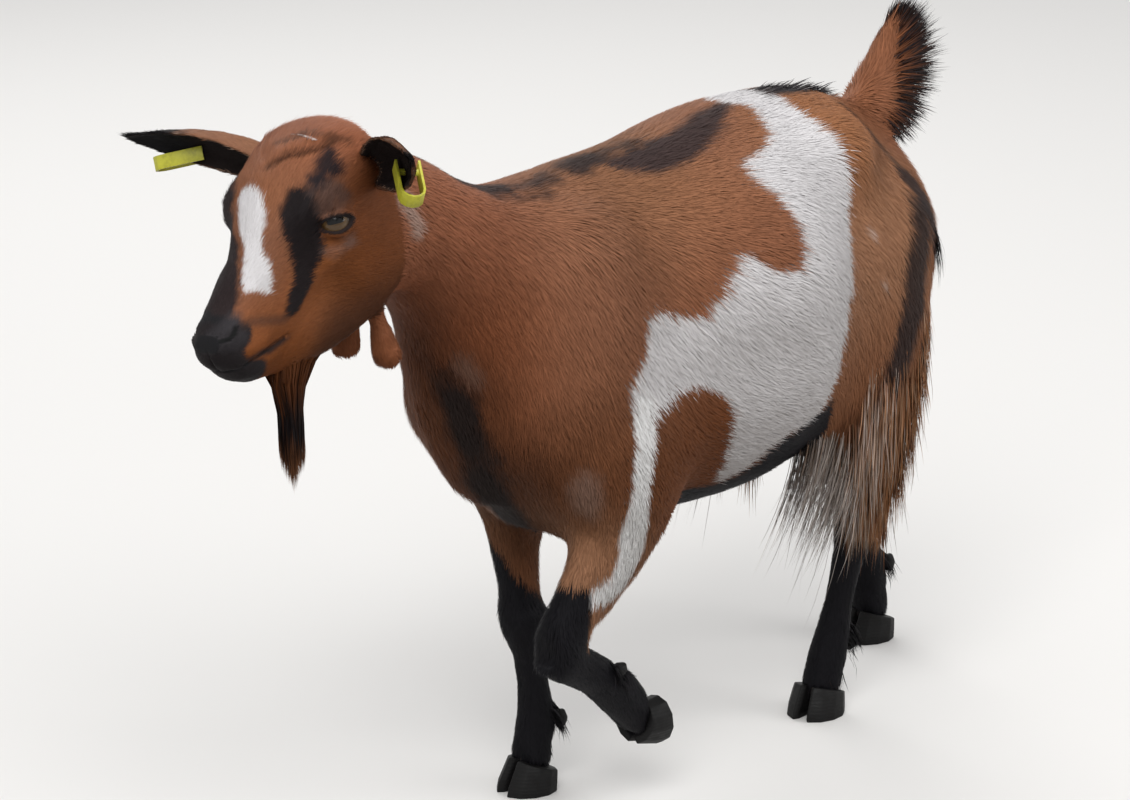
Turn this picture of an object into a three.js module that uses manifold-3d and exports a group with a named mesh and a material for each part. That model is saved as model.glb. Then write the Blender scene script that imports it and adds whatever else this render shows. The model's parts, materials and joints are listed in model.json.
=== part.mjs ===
// A life-size dwarf goat in mid-walk, as a still museum model: three hooves on the floor, the left fore
// lifted, the head a little to its left, with a loop tag on each ear.
// Millimetres. The goat faces -X, its left side is -Y, +Z is up, and the floor is z = 0.
//
// The flesh is one field: smooth unions of tapered limbs and ellipsoids, negative inside. Each named part
// meshes that field at a step that suits its detail, and is then parted from its neighbours by thin cuts.
import * as THREE from "three";
import { mergeVertices } from "three/addons/utils/BufferGeometryUtils.js";
import Module from "manifold-3d";

const wasm = await Module();
wasm.setup();

// ---------------------------------------------------------------- driving dimensions
const GAP = 0.3; // between neighbouring parts
const WITHERS = 545; // height at the withers, coat included
const BARREL = 138; // half the barrel's width, at the widest ribs
const HEAD_YAW = 7; // degrees that the head turns to its left
const HEAD_PITCH = 37; // degrees that the face line falls below level
const HEAD_ROLL = 8; // degrees that the head leans to its right
const EYES_MID = new THREE.Vector3(-468, -24, 570); // the head's own origin, between the brows
const EYE_RADIUS = 14;
const EYE_HALF_SPAN = 41; // from the head's middle plane to an eyeball's centre
const EAR_LENGTH = 134;
const TAG = { length: 40, width: 11, leaf: 1.8, open: 8 }; // a loop tag, folded over an ear's edge
const CLAW = { length: 47, width: 24, height: 27 }; // one half of a cloven hoof
// Mesh sizes along each part's own axes; a limb's third axis is its length.
const STEP = {
  trunk: [39, 30, 30], neck: [27, 24, 24], head: [16.7, 14.5, 14.5], thigh: [23, 21, 29], arm: [17, 16, 26],
  shin: [11, 11, 24], tail: [15, 14, 19], tuft: [11, 10, 20], teat: [8, 8, 14],
};

const vec = (x, y, z) => new THREE.Vector3(x, y, z);
const attributeOf = (points) => new THREE.Float32BufferAttribute(points.flatMap((p) => p.toArray()), 3);

// ---------------------------------------------------------------- fields
// A field is a function of (x, y, z) that gives roughly the distance to its surface, negative inside.

// Distance to an ellipsoid of radii a, b, c, for a point in its own axes.
function ellipsoidDistance(x, y, z, a, b, c) {
  const k0 = Math.hypot(x / a, y / b, z / c);
  const k1 = Math.hypot(x / (a * a), y / (b * b), z / (c * c));
  return k1 < 1e-9 ? -Math.min(a, b, c) : (k0 * (k0 - 1)) / k1;
}

// An ellipsoid in a frame: a matrix whose columns are its axes and centre.
function ellipsoid(centre, radii, frame = new THREE.Matrix4()) {
  const inverse = frame.clone().multiply(new THREE.Matrix4().setPosition(centre)).invert();
  const p = new THREE.Vector3();
  return (x, y, z) => {
    p.set(x, y, z).applyMatrix4(inverse);
    return ellipsoidDistance(p.x, p.y, p.z, ...radii);
  };
}

// A limb with elliptical sections. Each station is [x, y, z, half width, half depth, lower width share]:
// the width is level and across the limb's line, the depth is across both.
function limb(stations, { across = vec(0, 1, 0), samples = 6, frame = new THREE.Matrix4() } = {}) {
  const rows = stations.map((s) => [...s, ...(s.length < 6 ? [1] : [])]);
  const line = [];
  for (let i = 0; i + 1 < rows.length; i++) {
    const quad = [rows[Math.max(i - 1, 0)], rows[i], rows[i + 1], rows[Math.min(i + 2, rows.length - 1)]];
    for (let k = 0; k < samples; k++) line.push(catmullRom(quad, k / samples));
  }
  line.push(rows[rows.length - 1]);
  const points = line.map((r) => vec(r[0], r[1], r[2]).applyMatrix4(frame));
  const side = across.clone().transformDirection(frame);
  const pieces = points.slice(1).map((b, i) => {
    const a = points[i];
    const along = b.clone().sub(a);
    const length = along.length();
    const t = along.divideScalar(length);
    const v = t.clone().cross(side).normalize(); // across both the line and the width
    const u = v.clone().cross(t).normalize();
    return { a, length, t, u, v, from: line[i], to: line[i + 1] };
  });
  return (x, y, z) => {
    let best = null;
    let bestSquare = Infinity;
    let share = 0;
    for (const piece of pieces) {
      const dx = x - piece.a.x;
      const dy = y - piece.a.y;
      const dz = z - piece.a.z;
      const s = Math.min(1, Math.max(0, (dx * piece.t.x + dy * piece.t.y + dz * piece.t.z) / piece.length));
      const l = s * piece.length;
      const square = (dx - l * piece.t.x) ** 2 + (dy - l * piece.t.y) ** 2 + (dz - l * piece.t.z) ** 2;
      if (square < bestSquare) [best, bestSquare, share] = [piece, square, s];
    }
    const { a, length, t, u, v, from, to } = best;
    const half = (k) => from[k] + share * (to[k] - from[k]);
    const along = share * length;
    const q = [x - a.x - along * t.x, y - a.y - along * t.y, z - a.z - along * t.z];
    const dot = (w) => q[0] * w.x + q[1] * w.y + q[2] * w.z;
    const depth = half(4);
    const down = Math.min(1, Math.max(0, -dot(v) / depth)); // 0 on the upper half, 1 at the lowest line
    const width = half(3) * (1 + (half(5) - 1) * Math.sin(Math.PI * down));
    return ellipsoidDistance(dot(t), dot(u), dot(v), Math.min(width, depth), width, depth);
  };
}

function catmullRom([p0, p1, p2, p3], t) {
  return p1.map(
    (_, k) =>
      0.5 *
      (2 * p1[k] +
        (p2[k] - p0[k]) * t +
        (2 * p0[k] - 5 * p1[k] + 4 * p2[k] - p3[k]) * t * t +
        (3 * p1[k] - p0[k] - 3 * p2[k] + p3[k]) * t * t * t),
  );
}

// Union of fields whose edges blend over about k millimetres.
function blend(k, ...fields) {
  return (x, y, z) => {
    let d = fields[0](x, y, z);
    for (let i = 1; i < fields.length; i++) {
      const e = fields[i](x, y, z);
      const h = Math.max(k - Math.abs(d - e), 0) / k;
      d = Math.min(d, e) - (h * h * k) / 4;
    }
    return d;
  };
}

// Takes a hollow out of a field, with an edge that is round over k millimetres.
function hollow(k, field, cutter) {
  return (x, y, z) => {
    const d = field(x, y, z);
    const e = -cutter(x, y, z);
    const h = Math.max(k - Math.abs(d - e), 0) / k;
    return Math.max(d, e) + (h * h * k) / 4;
  };
}

const bothSides = (make) => [make(-1), make(1)]; // -1 is the goat's left

// ---------------------------------------------------------------- the body's forms
// Trunk, from the breast to the rump: x, top, bottom, half width, and how much wider the lower half is.
const TRUNK_PROFILE = [
  [-252, 468, 322, 52, 1.0],
  [-215, 528, 274, 72, 1.0],
  [-165, WITHERS, 244, 90, 1.02],
  [-105, 543, 234, 106, 1.06],
  [-45, 548, 230, 124, 1.1],
  [20, 559, 230, BARREL, 1.1],
  [80, 568, 242, 0.93 * BARREL, 1.05],
  [135, 567, 272, 112, 0.95],
  [185, 557, 312, 104, 0.9],
  [222, 536, 350, 84, 0.9],
  [244, 505, 385, 60, 0.9],
];
const trunkBarrel = limb(
  TRUNK_PROFILE.map(([x, top, bottom, half, low]) => {
    return [x, 0, (top + bottom) / 2, half, (top - bottom) / 2, low];
  }),
  { across: vec(0, -1, 0) },
);

const spine = limb([
  [-190, 0, 505, 30, 34],
  [-130, 0, 512, 30, 34],
  [0, 0, 522, 34, 34],
  [110, 0, 535, 40, 34],
  [190, 0, 520, 36, 34],
  [255, 0, 488, 22, 32],
]);

// One side's shoulder, hip and seat. The point of the hip and the seat bone stand out a little.
const sideForms = (s) => [
  ellipsoid(vec(-178, 66 * s, 430), [50, 34, 104], new THREE.Matrix4()), // shoulder blade
  ellipsoid(vec(-210, 48 * s, 368), [40, 32, 50]), // point of the shoulder
  ellipsoid(vec(-128, 74 * s, 330), [46, 30, 60]), // triceps
  ellipsoid(vec(138, 64 * s, 520), [40, 30, 26]), // point of the hip
  ellipsoid(vec(237, 44 * s, 446), [32, 30, 50]), // seat bone
];

const brisket = ellipsoid(vec(-226, 0, 332), [48, 44, 58]);
const trunk = blend(34, trunkBarrel, spine, brisket, ...bothSides(sideForms).flat());

// Neck, from between the shoulders to behind the jaw.
const neck = limb([
  [-190, 0, 432, 82, 112],
  [-250, -2, 477, 66, 79],
  [-302, -6, 516, 55, 58],
  [-352, -12, 549, 49, 53],
  [-398, -17, 572, 45, 49],
  [-425, -20, 582, 42, 44],
]);

// ---------------------------------------------------------------- the head
// Head axes: u runs from the eyes to the nose, v to the goat's left, w out of the forehead.
const headFrame = (() => {
  const yaw = THREE.MathUtils.degToRad(HEAD_YAW);
  const pitch = THREE.MathUtils.degToRad(HEAD_PITCH);
  const ahead = vec(-Math.cos(yaw), -Math.sin(yaw), 0);
  const left = vec(Math.sin(yaw), -Math.cos(yaw), 0);
  const u = ahead.clone().multiplyScalar(Math.cos(pitch)).addScaledVector(vec(0, 0, 1), -Math.sin(pitch));
  const w = ahead.clone().multiplyScalar(Math.sin(pitch)).addScaledVector(vec(0, 0, 1), Math.cos(pitch));
  const roll = new THREE.Quaternion().setFromAxisAngle(u, THREE.MathUtils.degToRad(HEAD_ROLL));
  left.applyQuaternion(roll);
  w.applyQuaternion(roll);
  return new THREE.Matrix4().makeBasis(u, left, w).setPosition(EYES_MID);
})();
const inHead = (u, v, w) => vec(u, v, w).applyMatrix4(headFrame);
const headBall = (centre, radii) => ellipsoid(vec(...centre), radii, headFrame);
const headLimb = (stations) => limb(stations, { frame: headFrame, across: vec(0, 1, 0) });

const cranium = headBall([-40, 0, -2], [50, 47, 42]);
const forehead = headBall([-4, 0, 14], [36, 38, 26]);
const face = headLimb([
  [-20, 0, -6, 40, 42],
  [22, 0, -12, 36, 42],
  [52, 0, -16, 30, 38],
  [82, 0, -16, 26, 33],
  [102, 0, -18, 23, 29],
  [112, 0, -19, 21, 25],
]);
const jaw = headLimb([
  [-30, 0, -78, 34, 39],
  [6, 0, -75, 32, 36],
  [46, 0, -66, 24, 31],
  [84, 0, -53, 18, 22],
  [108, 0, -43, 16, 14],
]);
const headSide = (s) => [
  headBall([-2, 39 * s, 16], [24, 16, 13]), // brow
  headBall([-42, 27 * s, 10], [30, 24, 24]), // side of the poll
  headBall([4, 35 * s, -18], [24, 11, 9]), // cheekbone
  headBall([-18, 26 * s, -52], [34, 15, 38]), // cheek
  headBall([115, 11 * s, -5], [13, 11, 10]), // wing of the nostril
  headBall([112, 11 * s, -24], [15, 12, 10]), // upper lip
];
const eyeCentre = (s) => vec(-3, EYE_HALF_SPAN * -s, -5); // in head axes; s is -1 on the left
const head = bothSides((s) => s).reduce(
  (field, s) => hollow(8, field, headBall([0, 58 * -s, -5], [18, 12, 13])),
  blend(14, blend(22, cranium, forehead, face, jaw), ...bothSides((s) => headSide(-s)).flat()),
);

// ---------------------------------------------------------------- the legs
// Each leg is listed from the trunk to the crown of the hoof: x, y, z, half width, half depth.
const LEGS = {
  foreleg_right: {
    upper: [
      [-202, 54, 372, 34, 50],
      [-158, 62, 312, 29, 45],
      [-140, 62, 262, 25, 35],
      [-143, 53, 212, 19.5, 25],
      [-144, 45, 172, 18, 20],
      [-144, 42, 150, 18.5, 20],
    ],
    lower: [
      [-144, 42, 158, 18, 19.5],
      [-143, 41, 142, 17.5, 19],
      [-140, 38, 112, 13.5, 15],
      [-139, 36, 84, 13.5, 14.5],
      [-138, 34, 58, 17.5, 18],
      [-144, 34, 40, 16.5, 17],
      [-147, 33, 24, 19, 18],
    ],
    foot: { at: [-157, 32, 0], heading: 12, pitch: 0, spread: 7 },
    split: 160,
  },
  foreleg_left: {
    upper: [
      [-206, -58, 372, 34, 50],
      [-172, -72, 312, 32, 50],
      [-155, -76, 266, 28, 47],
      [-180, -73, 222, 21.5, 36],
      [-209, -69, 190, 18.5, 25],
      [-223, -67, 170, 18.5, 22],
    ],
    lower: [
      [-224, -67, 170, 18, 21],
      [-213, -66, 157, 17.5, 21],
      [-188, -64, 141, 15, 18],
      [-164, -62, 126, 15, 18],
      [-143, -60, 109, 18, 21],
      [-127, -58, 94, 17, 19],
      [-114, -57, 80, 19, 19],
    ],
    foot: { at: [-90, -56, 69], heading: 2, pitch: -102, spread: 4 },
    split: null,
  },
  hindleg_left: {
    upper: [
      [196, -58, 430, 44, 74],
      [172, -78, 350, 40, 66],
      [164, -78, 292, 33, 54],
      [180, -67, 236, 22, 38],
      [186, -60, 200, 17, 27],
      [186, -56, 172, 16, 24],
    ],
    lower: [
      [190, -58, 188, 15.5, 26],
      [185, -55, 166, 16, 22],
      [176, -51, 136, 13, 15.5],
      [170, -47, 98, 12.5, 14],
      [164, -43, 62, 17, 18],
      [158, -41, 42, 16, 17],
      [155, -40, 24, 19, 18],
    ],
    foot: { at: [146, -39, 0], heading: 8, pitch: 0, spread: 7 },
    split: 190,
  },
  hindleg_right: {
    upper: [
      [196, 58, 430, 44, 74],
      [196, 80, 350, 40, 66],
      [210, 82, 292, 33, 52],
      [250, 74, 240, 22, 34],
      [282, 67, 208, 17, 25],
      [302, 64, 184, 16, 23],
    ],
    lower: [
      [300, 65, 200, 15.5, 26],
      [308, 64, 174, 16, 22],
      [319, 62, 144, 13, 15.5],
      [331, 60, 106, 12.5, 14],
      [343, 57, 70, 17, 18],
      [345, 56, 46, 16, 17],
      [343, 55, 26, 19, 18],
    ],
    foot: { at: [334, 54, 0], heading: 6, pitch: 0, spread: 7 },
    split: 206,
  },
};
const FRONT_BACK = vec(0, 1, 0);
// The point of the hock stands out behind the joint.
const HOCKS = { hindleg_left: [190, -58, 196], hindleg_right: [314, 65, 208] };
const hock = (name) => ellipsoid(vec(...HOCKS[name]), [14, 11, 22]);
const upperLeg = (name) => {
  const leg = limb(LEGS[name].upper, { across: FRONT_BACK });
  return HOCKS[name] ? blend(16, leg, hock(name)) : leg;
};
const lowerLeg = (name) => limb(LEGS[name].lower, { across: FRONT_BACK });
const legNames = Object.keys(LEGS);
const wholeBody = blend(40, blend(30, trunk, neck), ...legNames.map(upperLeg));
const neckAndHead = blend(26, blend(30, trunk, neck), head);

// ---------------------------------------------------------------- from field to solid
// Meshes a field in a box by surface nets: one vertex in each cell that the surface crosses, moved onto
// the surface by a few Newton steps, and one quad across each crossed edge. The box and its steps are in
// the axes of a frame, so that the cells can be long where a form is long.
function meshField(field, low, high, steps, frame = new THREE.Matrix4()) {
  const size = vec(...steps);
  const count = ["x", "y", "z"].map((k) => Math.ceil((high[k] - low[k]) / size[k]) + 1);
  const [nx, ny, nz] = count;
  const at = (i, j, k) => (k * ny + j) * nx + i;
  const place = (i, j, k) => vec(i, j, k).multiply(size).add(low).applyMatrix4(frame);
  const least = Math.min(...steps);
  const value = new Float64Array(nx * ny * nz);
  for (let k = 0; k < nz; k++)
    for (let j = 0; j < ny; j++)
      for (let i = 0; i < nx; i++) {
        const edge = i === 0 || j === 0 || k === 0 || i === nx - 1 || j === ny - 1 || k === nz - 1;
        const p = place(i, j, k);
        const d = field(p.x, p.y, p.z);
        value[at(i, j, k)] = edge ? Math.max(d, least / 2) : d; // a closed end where the box cuts the form
      }
  unpinch(value, count, at);
  const vertexOf = new Map();
  const positions = [];
  const corners = [0, 1, 2, 3, 4, 5, 6, 7].map((c) => [c & 1, (c >> 1) & 1, (c >> 2) & 1]);
  const edges = corners.flatMap((_, a) => [1, 2, 4].filter((bit) => !(a & bit)).map((bit) => [a, a | bit]));
  for (let k = 0; k + 1 < nz; k++)
    for (let j = 0; j + 1 < ny; j++)
      for (let i = 0; i + 1 < nx; i++) {
        const v = corners.map(([a, b, c]) => value[at(i + a, j + b, k + c)]);
        const inside = v.filter((d) => d < 0).length;
        if (inside === 0 || inside === 8) continue;
        const sum = vec(0, 0, 0);
        const crossed = edges.filter(([p, q]) => v[p] < 0 !== v[q] < 0);
        for (const [p, q] of crossed) {
          sum.add(vec(...corners[p]).lerp(vec(...corners[q]), v[p] / (v[p] - v[q])));
        }
        const point = sum.divideScalar(crossed.length).add(vec(i, j, k));
        const wall = ["x", "y", "z"].some((a, n) => point[a] < 1 || point[a] > count[n] - 2);
        const p = place(point.x, point.y, point.z);
        vertexOf.set(at(i, j, k), positions.length);
        positions.push(wall ? p : settle(field, p, least / 2));
      }
  const triangles = [];
  const quad = (cells, flip) => {
    const [a, b, c, d] = cells.map((cell) => vertexOf.get(cell));
    const near = positions[a].distanceTo(positions[c]) <= positions[b].distanceTo(positions[d]);
    const split = near ? [a, b, c, a, c, d] : [a, b, d, b, c, d];
    triangles.push(...(flip ? split.reverse() : split));
  };
  for (let k = 0; k + 1 < nz; k++)
    for (let j = 0; j + 1 < ny; j++)
      for (let i = 0; i + 1 < nx; i++) {
        const here = value[at(i, j, k)] < 0;
        if (j && k && here !== value[at(i + 1, j, k)] < 0)
          quad([at(i, j - 1, k - 1), at(i, j, k - 1), at(i, j, k), at(i, j - 1, k)], !here);
        if (i && k && here !== value[at(i, j + 1, k)] < 0)
          quad([at(i - 1, j, k - 1), at(i - 1, j, k), at(i, j, k), at(i, j, k - 1)], !here);
        if (i && j && here !== value[at(i, j, k + 1)] < 0)
          quad([at(i - 1, j - 1, k), at(i, j - 1, k), at(i, j, k), at(i - 1, j, k)], !here);
      }
  const geometry = new THREE.BufferGeometry();
  geometry.setAttribute("position", attributeOf(positions));
  geometry.setIndex(triangles);
  return geometry;
}

// Where a cell's face has the inside at two opposite corners only, the weaker of them goes outside, so that
// no edge of the mesh is shared by four faces.
function unpinch(value, [nx, ny, nz], at) {
  const faces = [
    [[1, 0, 0], [0, 1, 0]],
    [[0, 1, 0], [0, 0, 1]],
    [[0, 0, 1], [1, 0, 0]],
  ];
  for (let round = 0, changed = true; changed && round < 20; round++) {
    changed = false;
    for (let k = 0; k + 1 < nz; k++)
      for (let j = 0; j + 1 < ny; j++)
        for (let i = 0; i + 1 < nx; i++)
          for (const [p, q] of faces) {
            const four = [[0, 0], [1, 0], [1, 1], [0, 1]].map(([a, b]) =>
              at(i + a * p[0] + b * q[0], j + a * p[1] + b * q[1], k + a * p[2] + b * q[2]));
            const inside = four.map((n) => value[n] < 0);
            if (inside[0] !== inside[2] || inside[1] !== inside[3] || inside[0] === inside[1]) continue;
            const weakest = four.filter((n) => value[n] < 0).reduce((m, n) => (value[n] > value[m] ? n : m));
            value[weakest] = 1e-3;
            changed = true;
          }
  }
}

// The point on the field's surface near p, no further from p than the reach.
function settle(field, p, reach) {
  const start = p.clone();
  const e = 0.5;
  for (let n = 0; n < 4; n++) {
    const d = field(p.x, p.y, p.z);
    const g = vec(
      field(p.x + e, p.y, p.z) - field(p.x - e, p.y, p.z),
      field(p.x, p.y + e, p.z) - field(p.x, p.y - e, p.z),
      field(p.x, p.y, p.z + e) - field(p.x, p.y, p.z - e),
    ).divideScalar(2 * e);
    const square = g.lengthSq();
    if (square < 1e-4) break;
    p.addScaledVector(g, -d / square);
  }
  return start.add(p.sub(start).clampLength(0, reach));
}

const grown = (field, by) => (x, y, z) => field(x, y, z) - by;

// A closed mesh as a solid, and back.
function solid(geometry) {
  const bare = geometry.clone();
  bare.deleteAttribute("normal");
  bare.deleteAttribute("uv");
  const merged = mergeVertices(bare, 1e-3);
  const mesh = new wasm.Mesh({
    numProp: 3,
    vertProperties: new Float32Array(merged.attributes.position.array),
    triVerts: new Uint32Array(merged.index.array),
  });
  return new wasm.Manifold(mesh);
}

function geometryOf(manifold) {
  const mesh = manifold.getMesh();
  const positions = new Float32Array(mesh.numVert * 3);
  for (let i = 0; i < mesh.numVert; i++)
    positions.set(mesh.vertProperties.subarray(i * mesh.numProp, i * mesh.numProp + 3), i * 3);
  const geometry = new THREE.BufferGeometry();
  geometry.setAttribute("position", new THREE.BufferAttribute(positions, 3));
  geometry.setIndex(new THREE.BufferAttribute(mesh.triVerts, 1));
  return geometry;
}

// The largest body of a solid, without the crumbs that a cut may leave.
const largest = (manifold) => manifold.decompose().sort((a, b) => b.volume() - a.volume())[0];

// Everything on one side of a plane: the side that the normal points to, from `gap` beyond it.
const REACH = 2400;
function beyond(point, normal, gap = GAP / 2) {
  const n = normal.clone().normalize();
  const box = new THREE.BoxGeometry(REACH, REACH, REACH).translate(0, 0, REACH / 2 + gap);
  box.applyQuaternion(new THREE.Quaternion().setFromUnitVectors(vec(0, 0, 1), n));
  return solid(box.translate(point.x, point.y, point.z));
}
const region = (planes, gap) => planes.map(([p, n]) => beyond(p, n, gap)).reduce((a, b) => a.intersect(b));

// ---------------------------------------------------------------- materials
const material = (name, colour, roughness = 0.85, metalness = 0) =>
  Object.assign(new THREE.MeshStandardMaterial({ color: colour, roughness, metalness }), { name });
const chestnut = material("coat_chestnut", "#8a563c");
const black = material("coat_black", "#1f1e21");
const horn = material("hoof_horn", "#2b2724", 0.55);
const eyeball = material("eye_amber", "#8f6a38", 0.12);
const tagPlastic = material("tag_plastic", "#c8c52f", 0.45);

const group = new THREE.Group();
group.name = "goat";
const solids = {};
function add(name, shape, look) {
  const body = largest(shape);
  solids[name] = body;
  const mesh = new THREE.Mesh(geometryOf(body), look());
  mesh.name = name;
  group.add(mesh);
}
const own = (look) => () => look.clone();

// ---------------------------------------------------------------- eyes
// An eyeball and the socket it sits in are the same sphere, the socket a little larger.
const eyes = Object.fromEntries(
  [["left", -1], ["right", 1]].map(([side, s]) => {
    const centre = eyeCentre(s).applyMatrix4(headFrame);
    const sphere = (r) => solid(new THREE.SphereGeometry(r, 12, 8).translate(centre.x, centre.y, centre.z));
    return [side, { ball: sphere(EYE_RADIUS), socket: sphere(EYE_RADIUS + 1.6 * GAP) }];
  }),
);

// A closed skin over rings of points, each ring the same length; both ends are closed by a fan.
function loft(rings) {
  const n = rings[0].length;
  const points = rings.flat();
  const faces = [];
  for (let r = 0; r + 1 < rings.length; r++)
    for (let i = 0; i < n; i++) {
      const a = r * n + i;
      const b = r * n + ((i + 1) % n);
      faces.push(a, b, b + n, a, b + n, a + n);
    }
  const cap = (ring, flip) => {
    const centre = points.push(rings[ring].reduce((sum, p) => sum.add(p), vec(0, 0, 0)).divideScalar(n)) - 1;
    for (let i = 0; i < n; i++) {
      const a = ring * n + i;
      const b = ring * n + ((i + 1) % n);
      faces.push(...(flip ? [b, a, centre] : [a, b, centre]));
    }
  };
  cap(0, true);
  cap(rings.length - 1, false);
  const geometry = new THREE.BufferGeometry();
  geometry.setAttribute("position", attributeOf(points));
  geometry.setIndex(faces);
  const made = solid(geometry);
  if (made.volume() > 0) return made;
  geometry.setIndex(faces.reverse());
  return solid(geometry);
}

// ---------------------------------------------------------------- ears
// An ear is a leaf, rolled towards its root; its rings are crescents that open to the front.
const EAR_RINGS = [
  // share of the length, half width, depth of the back, thickness, how far round the rim comes (degrees)
  [-0.12, 13, 13, 12.4, 118],
  [0.04, 15, 15, 13, 118],
  [0.14, 18, 17, 7, 114],
  [0.28, 22, 18, 3.6, 104],
  [0.44, 24, 17, 3.2, 96],
  [0.6, 22.5, 14, 3, 90],
  [0.76, 17.5, 10, 3, 88],
  [0.9, 10, 6.5, 2.8, 88],
  [1, 3.5, 3.6, 2.4, 88],
];
const EAR_SAMPLES = 5; // points over each face of the crescent
function ear(root, along, opening, droop) {
  const grownBy = (extra) => earLoft(root, along, opening, droop, extra);
  return { ...grownBy(0), pocket: grownBy(1.6 * GAP).shape };
}
function earLoft(root, along, opening, droop, extra) {
  const t = along.clone().normalize();
  const front = opening.clone().addScaledVector(t, -opening.dot(t)).normalize();
  const up = t.clone().cross(front).normalize();
  const rings = EAR_RINGS.map(([share, ...size]) => {
    const [width, depth, thick, round] = [size[0] + extra, size[1] + extra, size[2] + 2 * extra, size[3]];
    const reach = share * EAR_LENGTH - (share < 0 ? extra : 0);
    const centre = root.clone().addScaledVector(t, reach).add(vec(0, 0, -droop * share * share));
    const arc = (w, d, lift) =>
      Array.from({ length: EAR_SAMPLES }, (_, i) => {
        const a = THREE.MathUtils.degToRad(round * ((2 * i) / (EAR_SAMPLES - 1) - 1));
        const outward = lift - d * Math.cos(a);
        return centre.clone().addScaledVector(front, outward).addScaledVector(up, w * Math.sin(a));
      });
    const inner = arc(width - 0.8 * thick, Math.max(depth - thick, 0.6), 0.2 * thick).reverse();
    return [...arc(width, depth, 0), ...inner];
  });
  const at = (share) => {
    const i = EAR_RINGS.findIndex((ring) => ring[0] > share);
    const [a, b] = [EAR_RINGS[i - 1], EAR_RINGS[i]];
    return [1, 2, 3].map((k) => a[k] + ((share - a[0]) / (b[0] - a[0])) * (b[k] - a[k]));
  };
  return { shape: loft(rings), t, front, up, root, at };
}
const ears = {
  left: ear(inHead(-59, 39.5, -9), vec(-0.5, -0.8, 0.3), vec(-0.62, 0.3, -0.35), 4),
  right: ear(inHead(-56, -44, -12), vec(-0.48, 0.86, 0.2), vec(-0.7, -0.2, -0.68), 6),
};

// ---------------------------------------------------------------- head, neck and trunk
const headCut = [inHead(-58, 0, -40), vec(0.9, 0, 0.44).transformDirection(headFrame)];
const neckCut = [vec(-250, 0, 470), vec(-0.87, 0, 0.485)];
const turned = ([point, normal]) => [point, normal.clone().negate()];

const meshHead = (field) => meshField(field, vec(-660, -150, 340), vec(-340, 100, 660), STEP.head);
const earPockets = [ears.left.pocket, ears.right.pocket];
add("head", [eyes.left.socket, eyes.right.socket, ...earPockets].reduce((a, b) => a.subtract(b),
  solid(meshHead(neckAndHead)).intersect(beyond(...headCut))), own(chestnut));
const neckMesh = meshField(neckAndHead, vec(-470, -120, 340), vec(-150, 120, 660), STEP.neck);
add("neck", earPockets.reduce((a, b) => a.subtract(b),
  solid(neckMesh).intersect(region([neckCut, turned(headCut)]))), own(chestnut));

// A leg starts at planes through the armpit or the groin.
const legRegion = (name) => {
  const s = name.endsWith("left") ? -1 : 1;
  const fore = name.startsWith("fore");
  const planes = fore
    ? [
        [vec(-150, 36 * s, 240), vec(0, 0.825 * s, -0.566)],
        [vec(-96, 0, 300), vec(-1, 0, -0.15)],
        [vec(-246, 0, 300), vec(1, 0, 0.1)],
      ]
    : [
        [vec(180, 24 * s, 266), vec(0, 0.825 * s, -0.566)],
        [vec(118, 0, 330), vec(1, 0, -0.3)],
      ];
  return planes;
};
let trunkSolid = solid(meshField(wholeBody, vec(-330, -180, 190), vec(330, 180, 610), STEP.trunk));
trunkSolid = trunkSolid.intersect(beyond(neckCut[0], neckCut[1].clone().negate()));
for (const name of legNames) trunkSolid = trunkSolid.subtract(region(legRegion(name), -GAP / 2));

// ---------------------------------------------------------------- legs
// Foot axes: x runs to the toe, y to the goat's left, z up from the sole.
function footFrame({ at, heading, pitch }, s) {
  const basis = new THREE.Matrix4().makeBasis(vec(-1, 0, 0), vec(0, -1, 0), vec(0, 0, 1));
  const turn = new THREE.Matrix4().makeRotationZ(THREE.MathUtils.degToRad(-heading * s));
  const tip = new THREE.Matrix4().makeRotationY(THREE.MathUtils.degToRad(pitch));
  return new THREE.Matrix4().makeTranslation(...at).multiply(tip).multiply(turn).multiply(basis);
}
const CORONET = [vec(-9, 0, 0.87 * CLAW.height), vec(0.316, 0, -0.949)]; // the crown's plane, in foot axes

// Half of a cloven hoof: flat towards the cleft, round outside, pointed at the toe. Rows run upwards.
const CLAW_OUTLINE = [
  [0.5, 0.16], [0.36, 0.62], [0.12, 0.92], [-0.16, 1], [-0.4, 0.84], [-0.5, 0.48],
  [-0.47, 0.1], [-0.2, 0.02], [0.12, 0], [0.38, 0.02],
];
function clawRings() {
  const rows = [[0, 1, 1, 0], [0.3, 0.97, 0.99, -1.4], [0.75, 0.86, 0.93, -5], [1.25, 0.74, 0.82, -9]];
  return rows.map(([up, long, wide, back]) =>
    CLAW_OUTLINE.map(([x, y]) => vec(x * long * CLAW.length + back, y * wide * CLAW.width, up * CLAW.height)),
  );
}

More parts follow.
